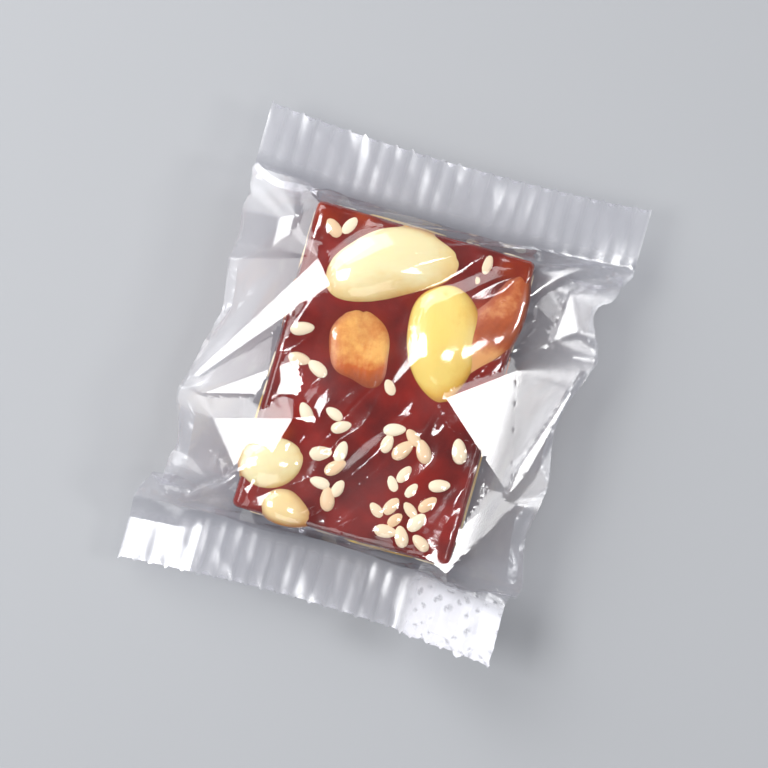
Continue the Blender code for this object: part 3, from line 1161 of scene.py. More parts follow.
@dataclass
class FilmForm:
    """The pack's outer form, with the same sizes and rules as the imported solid.

    Each crease point is a pinched point of a side crease: its side, its place along the
    pack, and its reach and half length in millimetres.
    """

    tablet: Tablet
    width: float = 48.0 * MM
    pack_length: float = 59.0 * MM
    seal_depth: float = 8.0 * MM
    front_height: float = 5.0 * MM
    back_height: float = 6.2 * MM
    front_shift: float = -1.5 * MM
    back_shift: float = 1.5 * MM
    seal_bow: float = 1.2 * MM
    seal_wave: float = 0.7 * MM
    corner_curl: float = 4.2 * MM
    corner_curl_start: float = 12.0 * MM
    end_fullness: float = 1.6
    crease_reach: float = 21.4 * MM
    crease_height: float = 5.0 * MM
    crease_lift: float = 2.0 * MM
    crease_sharpness: float = 1.4
    crease_flare_start: float = 11.0 * MM
    crease_points: tuple[tuple[int, float, float, float], ...] = (
        (-1, -7.7, 2.9, 9.0), (-1, 9.5, 1.1, 7.0), (1, 9.8, 3.2, 8.5), (1, -6.5, 1.4, 8.0),
    )
    pleat_pitch: float = 6.0 * MM
    pleat_height: float = 0.7 * MM
    fan_turns: float = 2.2
    fan_height: float = 0.8 * MM
    knot_start: float = 10.5 * MM
    knot_fade: float = 4.0 * MM
    knot_pitch: float = 4.4 * MM
    knot_height: float = 0.5 * MM
    knot_squeeze: float = 1.2 * MM

    @property
    def seal_line(self) -> float:
        """Distance of a seal's inner line from the middle of the pack."""
        return self.pack_length / 2 - self.seal_depth

    def crease(self, side: np.ndarray, along: np.ndarray) -> tuple[np.ndarray, np.ndarray]:
        """Reach and height of a side crease at places along the tube.

        Args:
            side: -1 or 1 for each place.
            along: Places along the tube.

        Returns:
            The reach and the height.
        """
        start = self.crease_flare_start
        flare = smooth_step((np.abs(along) - start) / (self.seal_line - start))
        extra = (self.width / 2 - self.crease_reach) * flare
        pinch = np.zeros_like(along)
        for point_side, place, reach, half_length in self.crease_points:
            near = 1.0 - np.abs(along - place * MM) / (half_length * MM)
            near = np.where(side == point_side, np.maximum(near, 0.0), 0.0)
            near = near ** self.crease_sharpness
            extra = np.maximum(extra, reach * MM * near)
            pinch = np.maximum(pinch, near)
        return self.crease_reach + extra, self.crease_height + self.crease_lift * pinch

    def seal_height(self, end: np.ndarray, across: np.ndarray) -> np.ndarray:
        """Height of the middle between a seal's two layers.

        Args:
            end: -1 at the front and 1 at the back, for each place.
            across: Places across the flattened tube.

        Returns:
            One height for each place.
        """
        height = np.where(end < 0, self.front_height, self.back_height)
        height = height + self.seal_wave * np.sin(math.tau * across / self.width + end)
        start = self.corner_curl_start
        curl = smooth_step((across - start) / (self.width / 2 - start))
        return height + np.where(end < 0, self.corner_curl * curl, 0.0)

    def knot(self, end: np.ndarray, across: np.ndarray) -> tuple[np.ndarray, np.ndarray]:
        """The front seal's bunched corner, where it was squeezed into small folds.

        Args:
            end: -1 at the front and 1 at the back, for each place.
            across: Places across the flattened tube.

        Returns:
            How far the film is drawn inwards, and how far it folds up or down.
        """
        share = smooth_step((across - self.knot_start) / self.knot_fade)
        share = np.where(end < 0, share, 0.0)
        fold = tri_wave(across / self.knot_pitch)
        return share * self.knot_squeeze, share * fold * self.knot_height

    def fan(self, x: np.ndarray, y: np.ndarray) -> np.ndarray:
        """Pleats that spread from each pinched point of the side creases to the tablet.

        Args:
            x: Places across the pack.
            y: Places along the pack.

        Returns:
            How far each place folds up.
        """
        fold = np.zeros_like(x)
        for side, place, reach, half_length in self.crease_points:
            away_x = side * (self.crease_reach + reach * MM) - x
            away_y = y - place * MM
            distance = np.hypot(away_x, away_y) / (half_length * MM)
            angle = np.arctan2(away_y, np.maximum(side * away_x, 1e-6))
            share = np.clip(4.0 * distance * (1.0 - distance), 0.0, 1.0)
            fold += share * tri_wave(angle / math.pi * self.fan_turns + 0.25)
        return fold * self.fan_height

    def points(self, across: np.ndarray, along: np.ndarray, layer: np.ndarray) -> np.ndarray:
        """Places of the film from its flattened places.

        Args:
            across: Places across the flattened tube.
            along: Places along the pack.
            layer: 1 on top and -1 below.

        Returns:
            One place for each, in the last axis.
        """
        tablet = self.tablet
        end = np.where(along > 0, 1.0, -1.0)
        side = np.where(across > 0, 1.0, -1.0)
        half_width, half_length = tablet.width / 2, tablet.length / 2
        to_side = np.maximum(0.0, np.abs(across) - half_width) / (self.width / 2 - half_width)
        to_seal = np.clip((np.abs(along) - half_length) / (self.seal_line - half_length), 0, 1)
        reach, crease_height = self.crease(side, along)
        low = crease_height + (self.seal_height(end, across) - crease_height) * to_seal
        x = np.where(to_side > 0, side * (half_width + (reach - half_width) * to_side), across)
        x = x + to_seal * np.where(end < 0, self.front_shift, self.back_shift)
        corner = (across / (self.width / 2)) ** 2
        y = along - end * self.seal_bow * (1.0 - corner) * to_seal
        away = np.maximum(to_side, to_seal ** self.end_fullness)
        on_tablet = np.where(layer > 0, tablet.top, tablet.foot)
        z = on_tablet + (low - on_tablet) * away
        pleat = 4.0 * to_seal * (1.0 - to_seal) * (1.0 - to_side)
        z = z + layer * self.pleat_height * pleat * tri_wave(across / self.pleat_pitch + 0.25 * end)
        drawn, fold = self.knot(end, across)
        fan = self.fan(x, y) * np.clip(to_side * 3.0, 0.0, 1.0) * (1.0 - to_seal)
        return np.stack((x - drawn * to_seal, y, z + fold * to_seal + fan), axis=-1)


@dataclass(frozen=True)
class Facet:
    """A flat taut piece of the upper film, by its corners in millimetres.

    Outside it the film falls off, so that its edges are sharp straight folds.
    """

    corners: tuple[tuple[float, float, float], ...]
    fall: float = 0.5

    def edges(self) -> list[tuple[np.ndarray, np.ndarray]]:
        """Start and end of each edge, in metres."""
        corners = np.array(self.corners) * MM
        return list(zip(corners, np.roll(corners, -1, axis=0)))

    def heights(self, points: np.ndarray) -> np.ndarray:
        """How high the facet stands, or falls off from its nearest edge outside it.

        Args:
            points: Places, one row each.

        Returns:
            One height for each place.
        """
        corners = np.array(self.corners) * MM
        normal = np.cross(corners[1] - corners[0], corners[2] - corners[0])
        plane = corners[0, 2] - (points[:, :2] - corners[0, :2]) @ normal[:2] / normal[2]
        inside = np.ones(len(points), dtype=bool)
        beyond = np.full(len(points), -math.inf)
        for corner, after in self.edges():
            run = (after - corner)[:2]
            off = points[:, :2] - corner[:2]
            inside &= (off[:, 0] * run[1] - off[:, 1] * run[0]) * normal[2] <= 0.0
            share = np.clip(off @ run / (run @ run), 0.0, 1.0)
            distance = np.linalg.norm(off - share[:, None] * run, axis=1)
            edge = corner[2] + share * (after[2] - corner[2])
            beyond = np.maximum(beyond, edge - self.fall * distance)
        return np.where(inside, plane, beyond)


@dataclass(frozen=True)
class FilmStage:
    """How the film is relaxed on one grid, coarse or fine.

    It starts crumpled by a share of a cell. In each round it is bent back by a share of
    its curve, puffed out in millimetres, and held by a share at its ears.
    """

    rounds: int
    bend: float
    crumple: float
    puff: float
    hold: float


@dataclass
class FilmSolver:
    """Relaxes the film: a flat tube that can't stretch is drawn in round the tablet.

    The tube is a grid of rows along it and of places round it. Pulling the seals in leaves
    too much film at the side creases, which buckles into pleats, as real film does.
    """

    form: FilmForm
    support: Support
    columns: int = 40
    rows: int = 42
    gusset_slack: float = 1.09
    slack_along: float = 1.01
    taut_crumple: float = 0.3
    layer_gap: float = 0.15 * MM
    ear_half_length: float = 7.0 * MM
    stages: tuple[FilmStage, ...] = (
        FilmStage(140, 0.001, 0.6, 0.0003, 0.5),
        FilmStage(110, 0.001, 0.25, 0.0001, 0.4),
        FilmStage(80, 0.001, 0.03, 0.0, 0.3),
    )
    crease_loops: int = 3
    crease_rounds: int = 8
    crease_angle: float = 0.05
    align_reach: float = 0.5 * MM
    facets: tuple[Facet, ...] = (
        Facet(((-24.2, -8.1, 7.9), (-9.4, 9.6, 13.4), (-11.7, 12.3, 13.05))),
        Facet(((-20.5, -7.0, 9.8), (-10.2, -4.2, 12.7), (-11.2, -0.3, 12.7))),
        Facet(((-18.6, -9.6, 11.1), (-12.1, -17.2, 12.5), (-9.3, -6.9, 13.7))),
        Facet(((18.4, -9.0, 11.25), (14.8, 5.9, 12.46), (7.6, 0.4, 13.2))),
        Facet(
            ((18.0, -8.6, 11.97), (19.45, -5.5, 11.1), (22.6, 7.6, 8.68), (18.4, -5.2, 11.52)),
            fall=1.0,
        ),
        Facet((
            (17.6, -8.2, 11.22), (10.4, -18.6, 12.09), (13.4, -19.8, 11.66), (19.2, -9.6, 10.98),
        )),
        Facet(((18.2, 10.6, 10.4), (20.8, 12.4, 9.2), (18.6, 16.6, 9.95))),
        Facet(((-15.9, 16.6, 11.1), (-17.6, 15.8, 10.57), (-17.2, 8.2, 9.83), (-16.0, 9.4, 10.27))),
        Facet(((-20.6, 12.0, 8.3), (-22.2, 12.6, 7.95), (-21.2, 10.4, 7.97))),
        Facet(((-24.2, -8.1, 7.0), (-15.6, -15.5, 12.0), (-17.4, -16.6, 10.9))),
        Facet(((24.8, 9.0, 6.6), (15.0, 14.0, 11.4), (15.6, 16.6, 11.3))),
    )
    draw: int = 4

    @property
    def flat_length(self) -> float:
        """Length of film between the seals: over the tablet and down both its ends."""
        tablet = self.form.tablet
        step = self.form.seal_line - self.form.seal_bow - tablet.length / 2
        return (tablet.length + 2.0 * math.hypot(step, tablet.height / 2)) * self.slack_along

    def start(self) -> np.ndarray:
        """The film on the pack's outer form, before it is relaxed.

        Returns:
            Places with rows first, then places round the tube.
        """
        form = self.form
        half = form.tablet.length / 2
        length = np.linspace(-0.5, 0.5, self.rows + 1) * self.flat_length
        over = np.maximum(np.abs(length) - half, 0.0)
        over *= (form.seal_line - half) / (self.flat_length / 2 - half)
        along = np.sign(length) * (np.minimum(np.abs(length), half) + over)
        top = np.linspace(-0.5, 0.5, self.columns + 1) * form.width
        layer = round_tube(np.ones(len(top)), under=-1.0)
        grid_along, grid_across = np.meshgrid(along, round_tube(top), indexing="ij")
        return form.points(grid_across, grid_along, np.broadcast_to(layer, grid_across.shape))

    @staticmethod
    def refine(points: np.ndarray) -> np.ndarray:
        """Halve the grid's cells both ways.

        Args:
            points: The grid.

        Returns:
            The finer grid.
        """
        rows, around, _ = points.shape
        wide = np.empty((rows, around * 2, 3))
        wide[:, 0::2] = points
        wide[:, 1::2] = (points + np.roll(points, -1, axis=1)) / 2
        fine = np.empty((rows * 2 - 1, around * 2, 3))
        fine[0::2] = wide
        fine[1::2] = (wide[:-1] + wide[1:]) / 2
        return fine

    def taut(self, around: int) -> np.ndarray:
        """Which places round the tube lie over or under the tablet, where no film is spare."""
        top = np.abs(np.linspace(-0.5, 0.5, around // 2 + 1)) * self.form.width
        return round_tube(top) < self.form.tablet.width / 2

    def links(self, rows: int, around: int) -> list[tuple[np.ndarray, np.ndarray, np.ndarray]]:
        """Pairs of neighbours in groups that share no point, and their true distances.

        Args:
            rows: Rows of the grid.
            around: Places round the tube.

        Returns:
            First points, second points and distances of each group.
        """
        cell_y = self.flat_length / (rows - 1)
        slack = np.where(self.taut(around), 1.0, self.gusset_slack)
        cell_x = 2.0 * self.form.width * slack / around
        sizes = (cell_x, np.hypot(cell_x, cell_y), np.hypot(np.roll(cell_x, 1), cell_y))
        across, rising, falling = (np.tile(size, (rows, 1)) for size in sizes)
        straight = np.full((rows, around), cell_y)
        index = np.arange(rows * around).reshape(rows, around)
        after, before = np.roll(index, -1, axis=1), np.roll(index, 1, axis=1)
        groups = []
        for odd in (0, 1):
            columns = slice(odd, None, 2)
            groups.append((
                index[:, columns].ravel(), after[:, columns].ravel(), across[:, columns].ravel(),
            ))
            for other, distance in ((index, straight), (after, rising), (before, falling)):
                near, far = index[odd:-1:2].ravel(), other[odd + 1::2].ravel()
                groups.append((near, far, distance[odd:-1:2].ravel()))
        return groups

    @staticmethod
    def around_mean(points: np.ndarray) -> np.ndarray:
        """Mean of the four neighbours less the place itself, for all but the end rows."""
        sides = np.roll(points, 1, axis=1) + np.roll(points, -1, axis=1)
        return (sides[1:-1] + points[:-2] + points[2:]) / 4 - points[1:-1]

    def soften(self, points: np.ndarray, stage: FilmStage) -> None:
        """Bend the film back a little where it curves, and puff it out, in place.

        Args:
            points: The grid.
            stage: How it is relaxed.
        """
        curve = np.zeros_like(points)
        curve[1:-1] = self.around_mean(points)
        points[1:-1] -= stage.bend * 16.0 * self.around_mean(curve)
        wide = np.roll(points, -1, axis=1) - np.roll(points, 1, axis=1)
        normal = np.cross(wide[1:-1], points[2:] - points[:-2])
        normal /= np.linalg.norm(normal, axis=-1, keepdims=True) + 1e-12
        points[1:-1] += stage.puff * MM * normal

    def part_layers(self, points: np.ndarray) -> None:
        """Keep the upper layer above the lower one, in place.

        Args:
            points: The grid.
        """
        half = points.shape[1] // 2
        upper, lower = points[1:-1, 1:half], points[1:-1, :half:-1]
        overlap = np.maximum(lower[..., 2] + self.layer_gap - upper[..., 2], 0.0) / 2
        upper[..., 2] += overlap
        lower[..., 2] -= overlap

    def ears(self, points: np.ndarray) -> tuple[np.ndarray, np.ndarray]:
        """Find the points that make the side creases' pinched ears.

        Args:
            points: The grid.

        Returns:
            Their numbers and the places where they belong.
        """
        rows, around, _ = points.shape
        length = np.linspace(-0.5, 0.5, rows) * self.flat_length
        numbers, places = [], []
        for side, place, _, _ in self.form.crease_points:
            column = 0 if side < 0 else around // 2
            near = np.nonzero(np.abs(length - place * MM) < self.ear_half_length)[0]
            reach, height = self.form.crease(np.full(len(near), side), length[near])
            numbers.append(near * around + column)
            places.append(np.stack((side * reach, length[near], height), axis=1))
        return np.concatenate(numbers), np.concatenate(places)

    def relax(self, points: np.ndarray, stage: FilmStage) -> None:
        """Let the film take its true lengths and keep out of the tablet, in place.

        Args:
            points: The grid.
            stage: How it is relaxed.
        """
        rows, around, _ = points.shape
        groups = self.links(rows, around)
        flat = points.reshape(-1, 3)
        ends = points[[0, -1]].copy()
        ears, places = self.ears(points)
        for _ in range(stage.rounds):
            for near, far, distance in groups:
                gap = flat[far] - flat[near]
                length = np.sqrt((gap * gap).sum(axis=1)) + 1e-12
                gap *= (0.5 * (1.0 - distance / length))[:, None]
                flat[near] += gap
                flat[far] -= gap
            self.soften(points, stage)
            self.part_layers(points)
            self.support.keep_out(flat)
            flat[ears] += stage.hold * (places - flat[ears])
            points[[0, -1]] = ends

    @staticmethod
    def normals(points: np.ndarray) -> np.ndarray:
        """The way each cell of the grid faces.

        Args:
            points: The grid.

        Returns:
            One unit vector for each cell.
        """
        after = np.roll(points, -1, axis=1)
        facing = np.cross(after[1:] - points[:-1], points[1:] - after[:-1])
        return facing / (np.linalg.norm(facing, axis=-1, keepdims=True) + 1e-15)

    def level_facets(self, facing: np.ndarray) -> np.ndarray:
        """Let each cell face as those of its neighbours do that are nearly level with it.

        Args:
            facing: The way each cell faces.

        Returns:
            The way each cell faces now.
        """
        padded = np.pad(facing, ((1, 1), (0, 0), (0, 0)), mode="edge")
        total = facing.copy()
        for row in (0, 1, 2):
            for turn in (-1, 0, 1):
                other = np.roll(padded[row:row + len(facing)], turn, axis=1)
                apart = ((facing - other) ** 2).sum(axis=-1, keepdims=True)
                total += other * np.exp(-apart / (2.0 * self.crease_angle ** 2))
        return total / np.linalg.norm(total, axis=-1, keepdims=True)

    def crease(self, points: np.ndarray) -> None:
        """Gather the film's bends into sharp creases between flat facets, in place.

        Stiff film bends only along lines, where soft rubber would bend all over.

        Args:
            points: The grid.
        """
        for _ in range(self.crease_loops):
            facing = self.normals(points)
            for _ in range(self.crease_rounds):
                facing = self.level_facets(facing)
            before = np.roll(facing, 1, axis=1)
            for _ in range(self.crease_rounds):
                after = np.roll(points, -1, axis=1)
                middles = (points[:-1] + points[1:] + after[:-1] + after[1:]) / 4
                middles_before = np.roll(middles, 1, axis=1)
                move = np.zeros_like(points[1:-1])
                for way, middle in ((facing, middles), (before, middles_before)):
                    for rows in (slice(0, -1), slice(1, None)):
                        gap = ((middle[rows] - points[1:-1]) * way[rows]).sum(-1, keepdims=True)
                        move += way[rows] * gap
                points[1:-1] += move / 4
            self.part_layers(points)
            self.support.keep_out(points.reshape(-1, 3))

    def clear_sweet(self, points: np.ndarray) -> None:
        """Keep the upper layer over all of the sweet and the lower one under it, in place.

        Args:
            points: The grid.
        """
        half = points.shape[1] // 2
        upper, lower = points[1:-1, 1:half], points[1:-1, half + 1:]
        top = self.support.up.at(upper.reshape(-1, 3)) + self.support.clearance
        foot = -self.support.down.at(lower.reshape(-1, 3)) - self.support.clearance
        foot = np.maximum(foot, self.support.floor_gap)
        upper[..., 2] = np.maximum(upper[..., 2], top.reshape(upper.shape[:2]))
        lower[..., 2] = np.minimum(lower[..., 2], foot.reshape(lower.shape[:2]))

    def align_to(self, start: np.ndarray, end: np.ndarray, upper: np.ndarray) -> None:
        """Move the places beside a straight fold onto it, so that it isn't jagged, in place.

        Args:
            start: Where the fold starts.
            end: Where it ends.
            upper: The grid of the upper film.
        """
        run = (end - start)[:2]
        off = upper[..., :2] - start[:2]
        beside = off[..., 0] * run[1] - off[..., 1] * run[0]
        moved, nearest = upper.copy(), np.full(beside.shape, 0.5)
        for axis, step in ((0, -1), (0, 1), (1, -1), (1, 1)):
            other, opposite = np.roll(upper, step, axis), np.roll(beside, step, axis)
            crossed = beside * opposite < 0.0
            share = np.where(crossed, beside / np.where(crossed, beside - opposite, 1.0), 1.0)
            step_aside = share[..., None] * (other - upper)
            along = ((upper + step_aside)[..., :2] - start[:2]) @ run / (run @ run)
            close = np.linalg.norm(step_aside, axis=-1) < self.align_reach
            hit = (share < nearest) & close & (along > 0.0) & (along < 1.0)
            moved[hit] = (upper + step_aside)[hit]
            nearest[hit] = share[hit]
        upper[...] = moved

    def stretch_facets(self, points: np.ndarray) -> None:
        """Draw the upper film up to its flat facets, in place.

        Args:
            points: The grid.
        """
        upper = points[1:-1, 1:points.shape[1] // 2]
        for facet in self.facets:
            for start, end in facet.edges():
                self.align_to(start, end, upper)
        flat = upper.reshape(-1, 3)
        height = flat[:, 2].copy()
        for facet in self.facets:
            height = np.maximum(height, facet.heights(flat))
        upper[..., 2] = height.reshape(upper.shape[:2])

    def solve(self) -> np.ndarray:
        """Relax the film from a coarse grid to a fine one.

        Returns:
            The relaxed grid.
        """
        draw = np.random.default_rng(self.draw)
        points = self.start()
        for level, stage in enumerate(self.stages):
            if level:
                points = self.refine(points)
            crumple = stage.crumple * self.flat_length / (len(points) - 1)
            taut = self.taut(points.shape[1])[None, :, None]
            crumple = crumple * np.where(taut, self.taut_crumple, 1.0)
            points[1:-1] += draw.normal(size=points[1:-1].shape) * crumple
            self.relax(points, stage)
        self.crease(points)
        self.clear_sweet(points)
        self.stretch_facets(points)
        return points


@dataclass
class FilmWrap:
    """The clear film: the relaxed tube with its two crimped seals."""

    form: FilmForm
    support: Support
    rib_pitch: float = 2.0 * MM
    rib_height: float = 0.05 * MM
    rib_fade: float = 0.35
    rib_fade_size: float = 5.0 * MM
    tooth_depth: float = 0.9 * MM
    ripple: float = 0.35 * MM
    ripple_size: float = 7.0 * MM
    fold_height: float = 0.1 * MM
    fold_pitch: float = 7.0 * MM
    fold_slant: float = 0.8
    knot_crumple: float = 0.3 * MM
    knot_crumple_size: float = 2.6 * MM
    knot_rise: float = 1.4 * MM
    pit_pitch: float = 2.3 * MM
    pit_depth: float = 0.1 * MM
    pit_start: float = 0.5
    pit_slope: float = 0.2
    pit_shift: float = 0.5 * MM
    pit_shift_size: float = 3.0 * MM
    seal_rows: int = 24
    seal_gap: float = 0.12 * MM
    # The seals' milkiness is heat-seal whitening; the knot's is partly whitening and partly painted
    # highlight; the gussets' is painted sheen.
    seal_milk: float = 0.09
    knot_milk_and_highlight: float = 0.6
    pit_clear: float = 0.85
    gusset_sheen: float = 0.06
    gusset_fade: float = 3.0 * MM
    corner_dip: float = 2.4 * MM
    corner_dip_start: float = 15.0 * MM
    fin_width: float = 8.0 * MM
    fin_offset: float = 1.5 * MM
    fin_gap: float = 0.12 * MM
    fin_wave: float = 0.25 * MM
    fin_wave_size: float = 3.0 * MM
    fin_floor_gap: float = 0.02 * MM
    fin_lines: float = 6.0
    fin_milk: float = 0.07
    crease_angle: float = 16.0
    fold_twist: float = 0.05 * MM

    def pits(self, flat: np.ndarray, out: float) -> np.ndarray:
        """The small pits that are stamped into the knot.

        Args:
            flat: Places of a row on the flattened film.
            out: How far out in the seal the row is.

        Returns:
            How deep each place is in a pit, from 0 to 1.
        """
        shift = self.pit_shift * smooth_noise(flat, self.pit_shift_size, draw=51)
        pits = np.cos(math.tau * (flat[:, 0] + shift) / self.pit_pitch)
        pits = pits * np.cos(math.tau * (out - shift) / self.pit_pitch)
        pits = pits * (0.8 + 0.35 * smooth_noise(flat, self.knot_crumple_size, draw=53))
        return smooth_step((pits - self.pit_start) / self.pit_slope)

    def seal(self, tube: np.ndarray, end: int) -> tuple[np.ndarray, np.ndarray]:
        """Rows of a seal, from the tube's last row out to the zigzag cut.

        Args:
            tube: The relaxed grid.
            end: -1 for the front seal and 1 for the back one.

        Returns:
            The new rows, going away from the tube, and how milky each place is, the knot's
            milkiness being partly painted highlight.
        """
        form = self.form
        line = tube[0] if end < 0 else tube[-1]
        half = len(line) // 2
        across = round_tube(np.linspace(-0.5, 0.5, half + 1) * form.width)
        layer = round_tube(np.ones(half + 1), under=-1.0)
        closed = (np.abs(across) < form.width / 2 - 1e-6) * layer
        rib = tri_wave(across / self.rib_pitch)
        bunched = form.knot(np.full(len(line), end), across)[0] / form.knot_squeeze
        dip_reach = form.width / 2 - self.corner_dip_start
        dip = np.maximum((-across - self.corner_dip_start) / dip_reach, 0.0) * (end < 0)
        rows, milk_and_sheen_rows = [], []
        for step in range(1, self.seal_rows + 1):
            share = step / self.seal_rows
            out = form.seal_depth * share
            row = line.copy()
            row[:, 1] += end * out
            flat = np.stack((across, row[:, 1]), axis=1)
            strength = 1.0 - self.rib_fade + self.rib_fade * smooth_noise(
                flat, self.rib_fade_size, draw=31,
            )
            row[:, 2] += self.rib_height * rib * strength * min(1.0, 4.0 * share)
            row[:, 2] += self.ripple * share * smooth_noise(flat, self.ripple_size, draw=33 + end)
            slant = (across + self.fold_slant * end * out) / self.fold_pitch
            row[:, 2] += self.fold_height * share * tri_wave(slant + 0.4 * strength)
            for axis in range(3):
                row[:, axis] += bunched * share * self.knot_crumple * ridged_noise(
                    flat, self.knot_crumple_size, draw=41 + axis,
                )
            row[:, 2] += self.knot_rise * bunched * share ** 2
            row[:, 2] -= self.corner_dip * dip * min(1.0, 3.0 * share)
            pits = self.pits(flat, out) * bunched
            row[:, 2] += closed * self.seal_gap / 2 - self.pit_depth * pits
            if step == self.seal_rows:
                row[:, 1] -= end * self.tooth_depth * 0.5 * (1.0 + rib)
            rows.append(row)
            milk_and_sheen = self.seal_milk * (0.8 + 0.2 * rib * strength)
            # Painted highlight: the knot is made milky white in place of the glare of its crumpled
            # folds, left clearer in its pits.
            milk_and_sheen = milk_and_sheen + self.knot_milk_and_highlight * bunched * (1.0 - self.pit_clear * pits)
            milk_and_sheen_rows.append(milk_and_sheen * min(1.0, 4.0 * share))
        return np.array(rows), np.array(milk_and_sheen_rows)

    def fin(self, tube: np.ndarray, material: bpy.types.Material) -> bpy.types.Object:
        """Make the back seam, a flap of joined film that lies folded under the pack.

        Args:
            tube: The relaxed grid.
            material: The film's material.

        Returns:
            The back seam.
        """
        rows, around, _ = tube.shape
        half = around // 2
        across = np.linspace(0.5, -0.5, half + 1) * self.form.width
        under = tube[:, np.r_[half:around, 0]]
        wide = np.nonzero(np.abs(across - self.fin_offset) < self.fin_width / 2)[0]
        share = np.linspace(0.0, 1.0, len(wide))
        normal = np.cross(
            np.gradient(under, axis=1)[:, wide], np.gradient(under, axis=0)[:, wide],
        )
        normal /= np.linalg.norm(normal, axis=-1, keepdims=True)
        flap = under[:, wide] + normal * (self.fin_gap * np.minimum(1.0, share * 8.0))[:, None]
        wave = smooth_noise(flap.reshape(-1, 3)[:, :2], self.fin_wave_size, draw=61)
        flap[..., 0] -= self.fin_wave * share ** 2 * wave.reshape(flap.shape[:2])
        flap[..., 2] = np.maximum(flap[..., 2], self.fin_floor_gap)
        faces = grid_faces(rows, len(wide)).reshape(-1, 4)
        seam = make_object("back_seam", flap.reshape(-1, 3), faces, material)
        lines = self.fin_milk * (0.6 + 0.4 * tri_wave(share * self.fin_lines))
        keep(seam, "milk_and_sheen", np.tile(lines, rows))
        return seam

    def split_folded(self, points: np.ndarray, faces: np.ndarray) -> list[list[int]]:
        """Split each face that a fold crosses from corner to corner, along that fold.

        Args:
            points: Places of the corners.
            faces: Four corner numbers for each face.

        Returns:
            The corner numbers of each face, four or three.
        """
        height = points[faces][:, :, 2]
        twist = height[:, 0] + height[:, 2] - height[:, 1] - height[:, 3]
        folded = np.abs(twist) > self.fold_twist
        turned = np.where(twist[:, None] < 0.0, np.roll(faces, -1, axis=1), faces)[folded]
        halves = np.concatenate((turned[:, (0, 1, 2)], turned[:, (0, 2, 3)]))
        return [*faces[~folded].tolist(), *halves.tolist()]

    def build(self, material: bpy.types.Material) -> list[bpy.types.Object]:
        """Make the film and its back seam.

        Args:
            material: The film's material.

        Returns:
            The film and the back seam.
        """
        form = self.form
        tube = FilmSolver(form, self.support).solve()
        front, front_milk_and_highlight = self.seal(tube, -1)
        back, back_milk = self.seal(tube, 1)
        grid = np.concatenate((front[::-1], tube, back))
        # Painted sheen: the film beside the tablet is made milkier in place of the sheen its
        # slanted folds reflect.
        aside = np.abs(tube[..., 0]) - form.tablet.width / 2
        painted_gusset_sheen = self.gusset_sheen * smooth_step(aside / self.gusset_fade)
        milk_and_sheen = np.concatenate((front_milk_and_highlight[::-1], painted_gusset_sheen, back_milk))
        rows, around, _ = grid.shape
        half = around // 2
        faces = grid_faces(rows, around, closed=True)
        upper, lower = faces[:, :half].reshape(-1, 4), faces[:, half:].reshape(-1, 4)
        points = grid.reshape(-1, 3)
        faces = [*self.split_folded(points, upper), *lower.tolist()]
        film = make_object("clear_film", points, faces, material)
        film.data.set_sharp_from_angle(angle=math.radians(self.crease_angle))
        keep(film, "milk_and_sheen", milk_and_sheen.ravel())
        return [film, self.fin(tube, material)]


@dataclass(frozen=True)
class SoftLight:
    """A square soft light that faces the pack, in metres and watts."""

    name: str
    place: tuple[float, float, float]
    size: float
    power: float

    def build(self) -> None:
        """Hang the light in the scene."""
        data = bpy.data.lights.new(self.name, "AREA")
        data.size = self.size
        data.energy = self.power
        light = bpy.data.objects.new(self.name, data)
        light.location = self.place
        light.rotation_euler = Vector(self.place).to_track_quat("Z", "Y").to_euler()
        light.visible_camera = False
        bpy.context.scene.collection.objects.link(light)


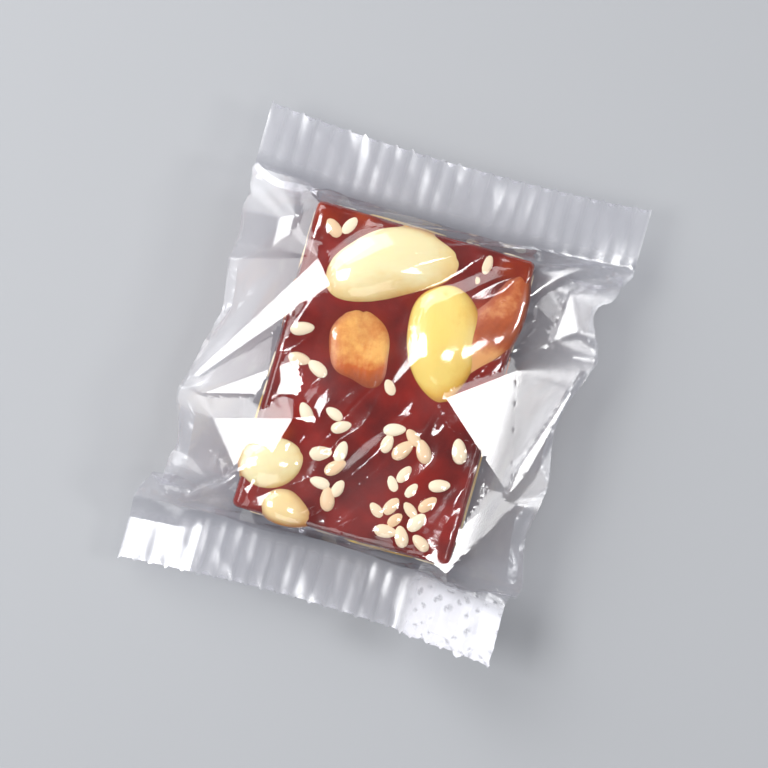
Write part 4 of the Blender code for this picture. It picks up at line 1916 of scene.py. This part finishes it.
@dataclass
class Studio:
    """A pale floor, soft lights and a camera that looks straight down, as the photo does."""

    turn_degrees: float = 16.0
    distance: float = 0.40
    lens_mm: float = 152.0
    near_clip: float = 0.01
    floor_size: float = 1.2
    floor_colour: str = "a6a8ac"
    world_colour: str = "eef1f6"
    world_strength: float = 0.2
    lights: tuple[SoftLight, ...] = (
        SoftLight("window", (-0.28, 0.32, 0.40), 0.36, 1.2),
        SoftLight("left_softbox", (-0.40, 0.20, 0.24), 0.38, 1.3),
        SoftLight("left_panel", (-0.24, -0.063, 0.375), 0.17, 1.1),
        SoftLight("right_panel", (0.155, -0.045, 0.45), 0.07, 0.24),
        SoftLight("right_strip", (0.34, 0.06, 0.29), 0.09, 0.6),
        SoftLight("fill", (0.06, -0.38, 0.40), 0.25, 0.3),
    )

    def build_floor(self) -> None:
        """Make the plain pale floor."""
        material, tree = new_material("pale_floor")
        shader = add_node(tree, "BsdfPrincipled", {
            "Base Color": linear(self.floor_colour), "Roughness": 0.6,
        })
        add_node(tree, "OutputMaterial", {"Surface": shader.outputs["BSDF"]})
        half = self.floor_size / 2
        corners = np.array(((-half, -half, 0), (half, -half, 0), (half, half, 0), (-half, half, 0)))
        floor = make_object("floor", corners, [(0, 1, 2, 3)], material)

    def build_camera(self) -> None:
        """Hang the camera over the pack, turned as the photo is."""
        data = bpy.data.cameras.new("camera")
        data.lens = self.lens_mm
        data.clip_start = self.near_clip
        camera = bpy.data.objects.new("camera", data)
        camera.location = (0.0, 0.0, self.distance)
        camera.rotation_euler = (0.0, 0.0, math.radians(self.turn_degrees))
        bpy.context.scene.collection.objects.link(camera)
        bpy.context.scene.camera = camera

    def build(self) -> None:
        """Make the floor, the lights, the world and the camera."""
        self.build_floor()
        for light in self.lights:
            light.build()
        world = bpy.data.worlds.new("soft_world")
        world.use_nodes = True
        background = world.node_tree.nodes["Background"]
        background.inputs["Color"].default_value = linear(self.world_colour)
        background.inputs["Strength"].default_value = self.world_strength
        bpy.context.scene.world = world
        bpy.context.scene.view_settings.view_transform = "Standard"
        self.build_camera()


def footprints(sesame: Sesame) -> np.ndarray:
    """Measure all that stands out of the tablet's top.

    Args:
        sesame: The seeds, already scattered.

    Returns:
        Centre x and y, half length, half width, turn, rise and bow of each, in rows.
    """
    bumps = []
    for nut in NUTS:
        bumps.append((
            nut.x * MM, nut.y * MM, nut.length / 2 * MM, nut.width / 2 * MM,
            math.radians(nut.turn), nut.proud * MM, nut.bow * MM,
        ))
    rise = sesame.thickness / 2 - sesame.sunk
    for x, y, turn in sesame.places:
        bumps.append((x, y, sesame.length / 2, sesame.width / 2, turn, rise, 0.0))
    return np.array(bumps)


def main() -> None:
    """Build the sweet and its studio, and report each piece."""
    logging.basicConfig(level=logging.INFO, format="%(name)s: %(message)s")
    tablet = Tablet()
    sesame = Sesame(tablet)
    sesame.scatter()
    jelly = tablet.build(JellyFinish().material(), footprints(sesame))
    halves = Peanuts(tablet).build()
    seeds = sesame.build(SesameFinish().material())
    support = Support(tablet, [jelly, *halves, seeds])
    films = FilmWrap(FilmForm(tablet), support).build(FilmFinish().material())
    settle(jelly, "jelly")
    for half in halves:
        settle(half, "peanut")
    settle(seeds, "sesame")
    for film in films:
        settle(film, "film")
    Studio().build()


if __name__ == "__main__":
    main()
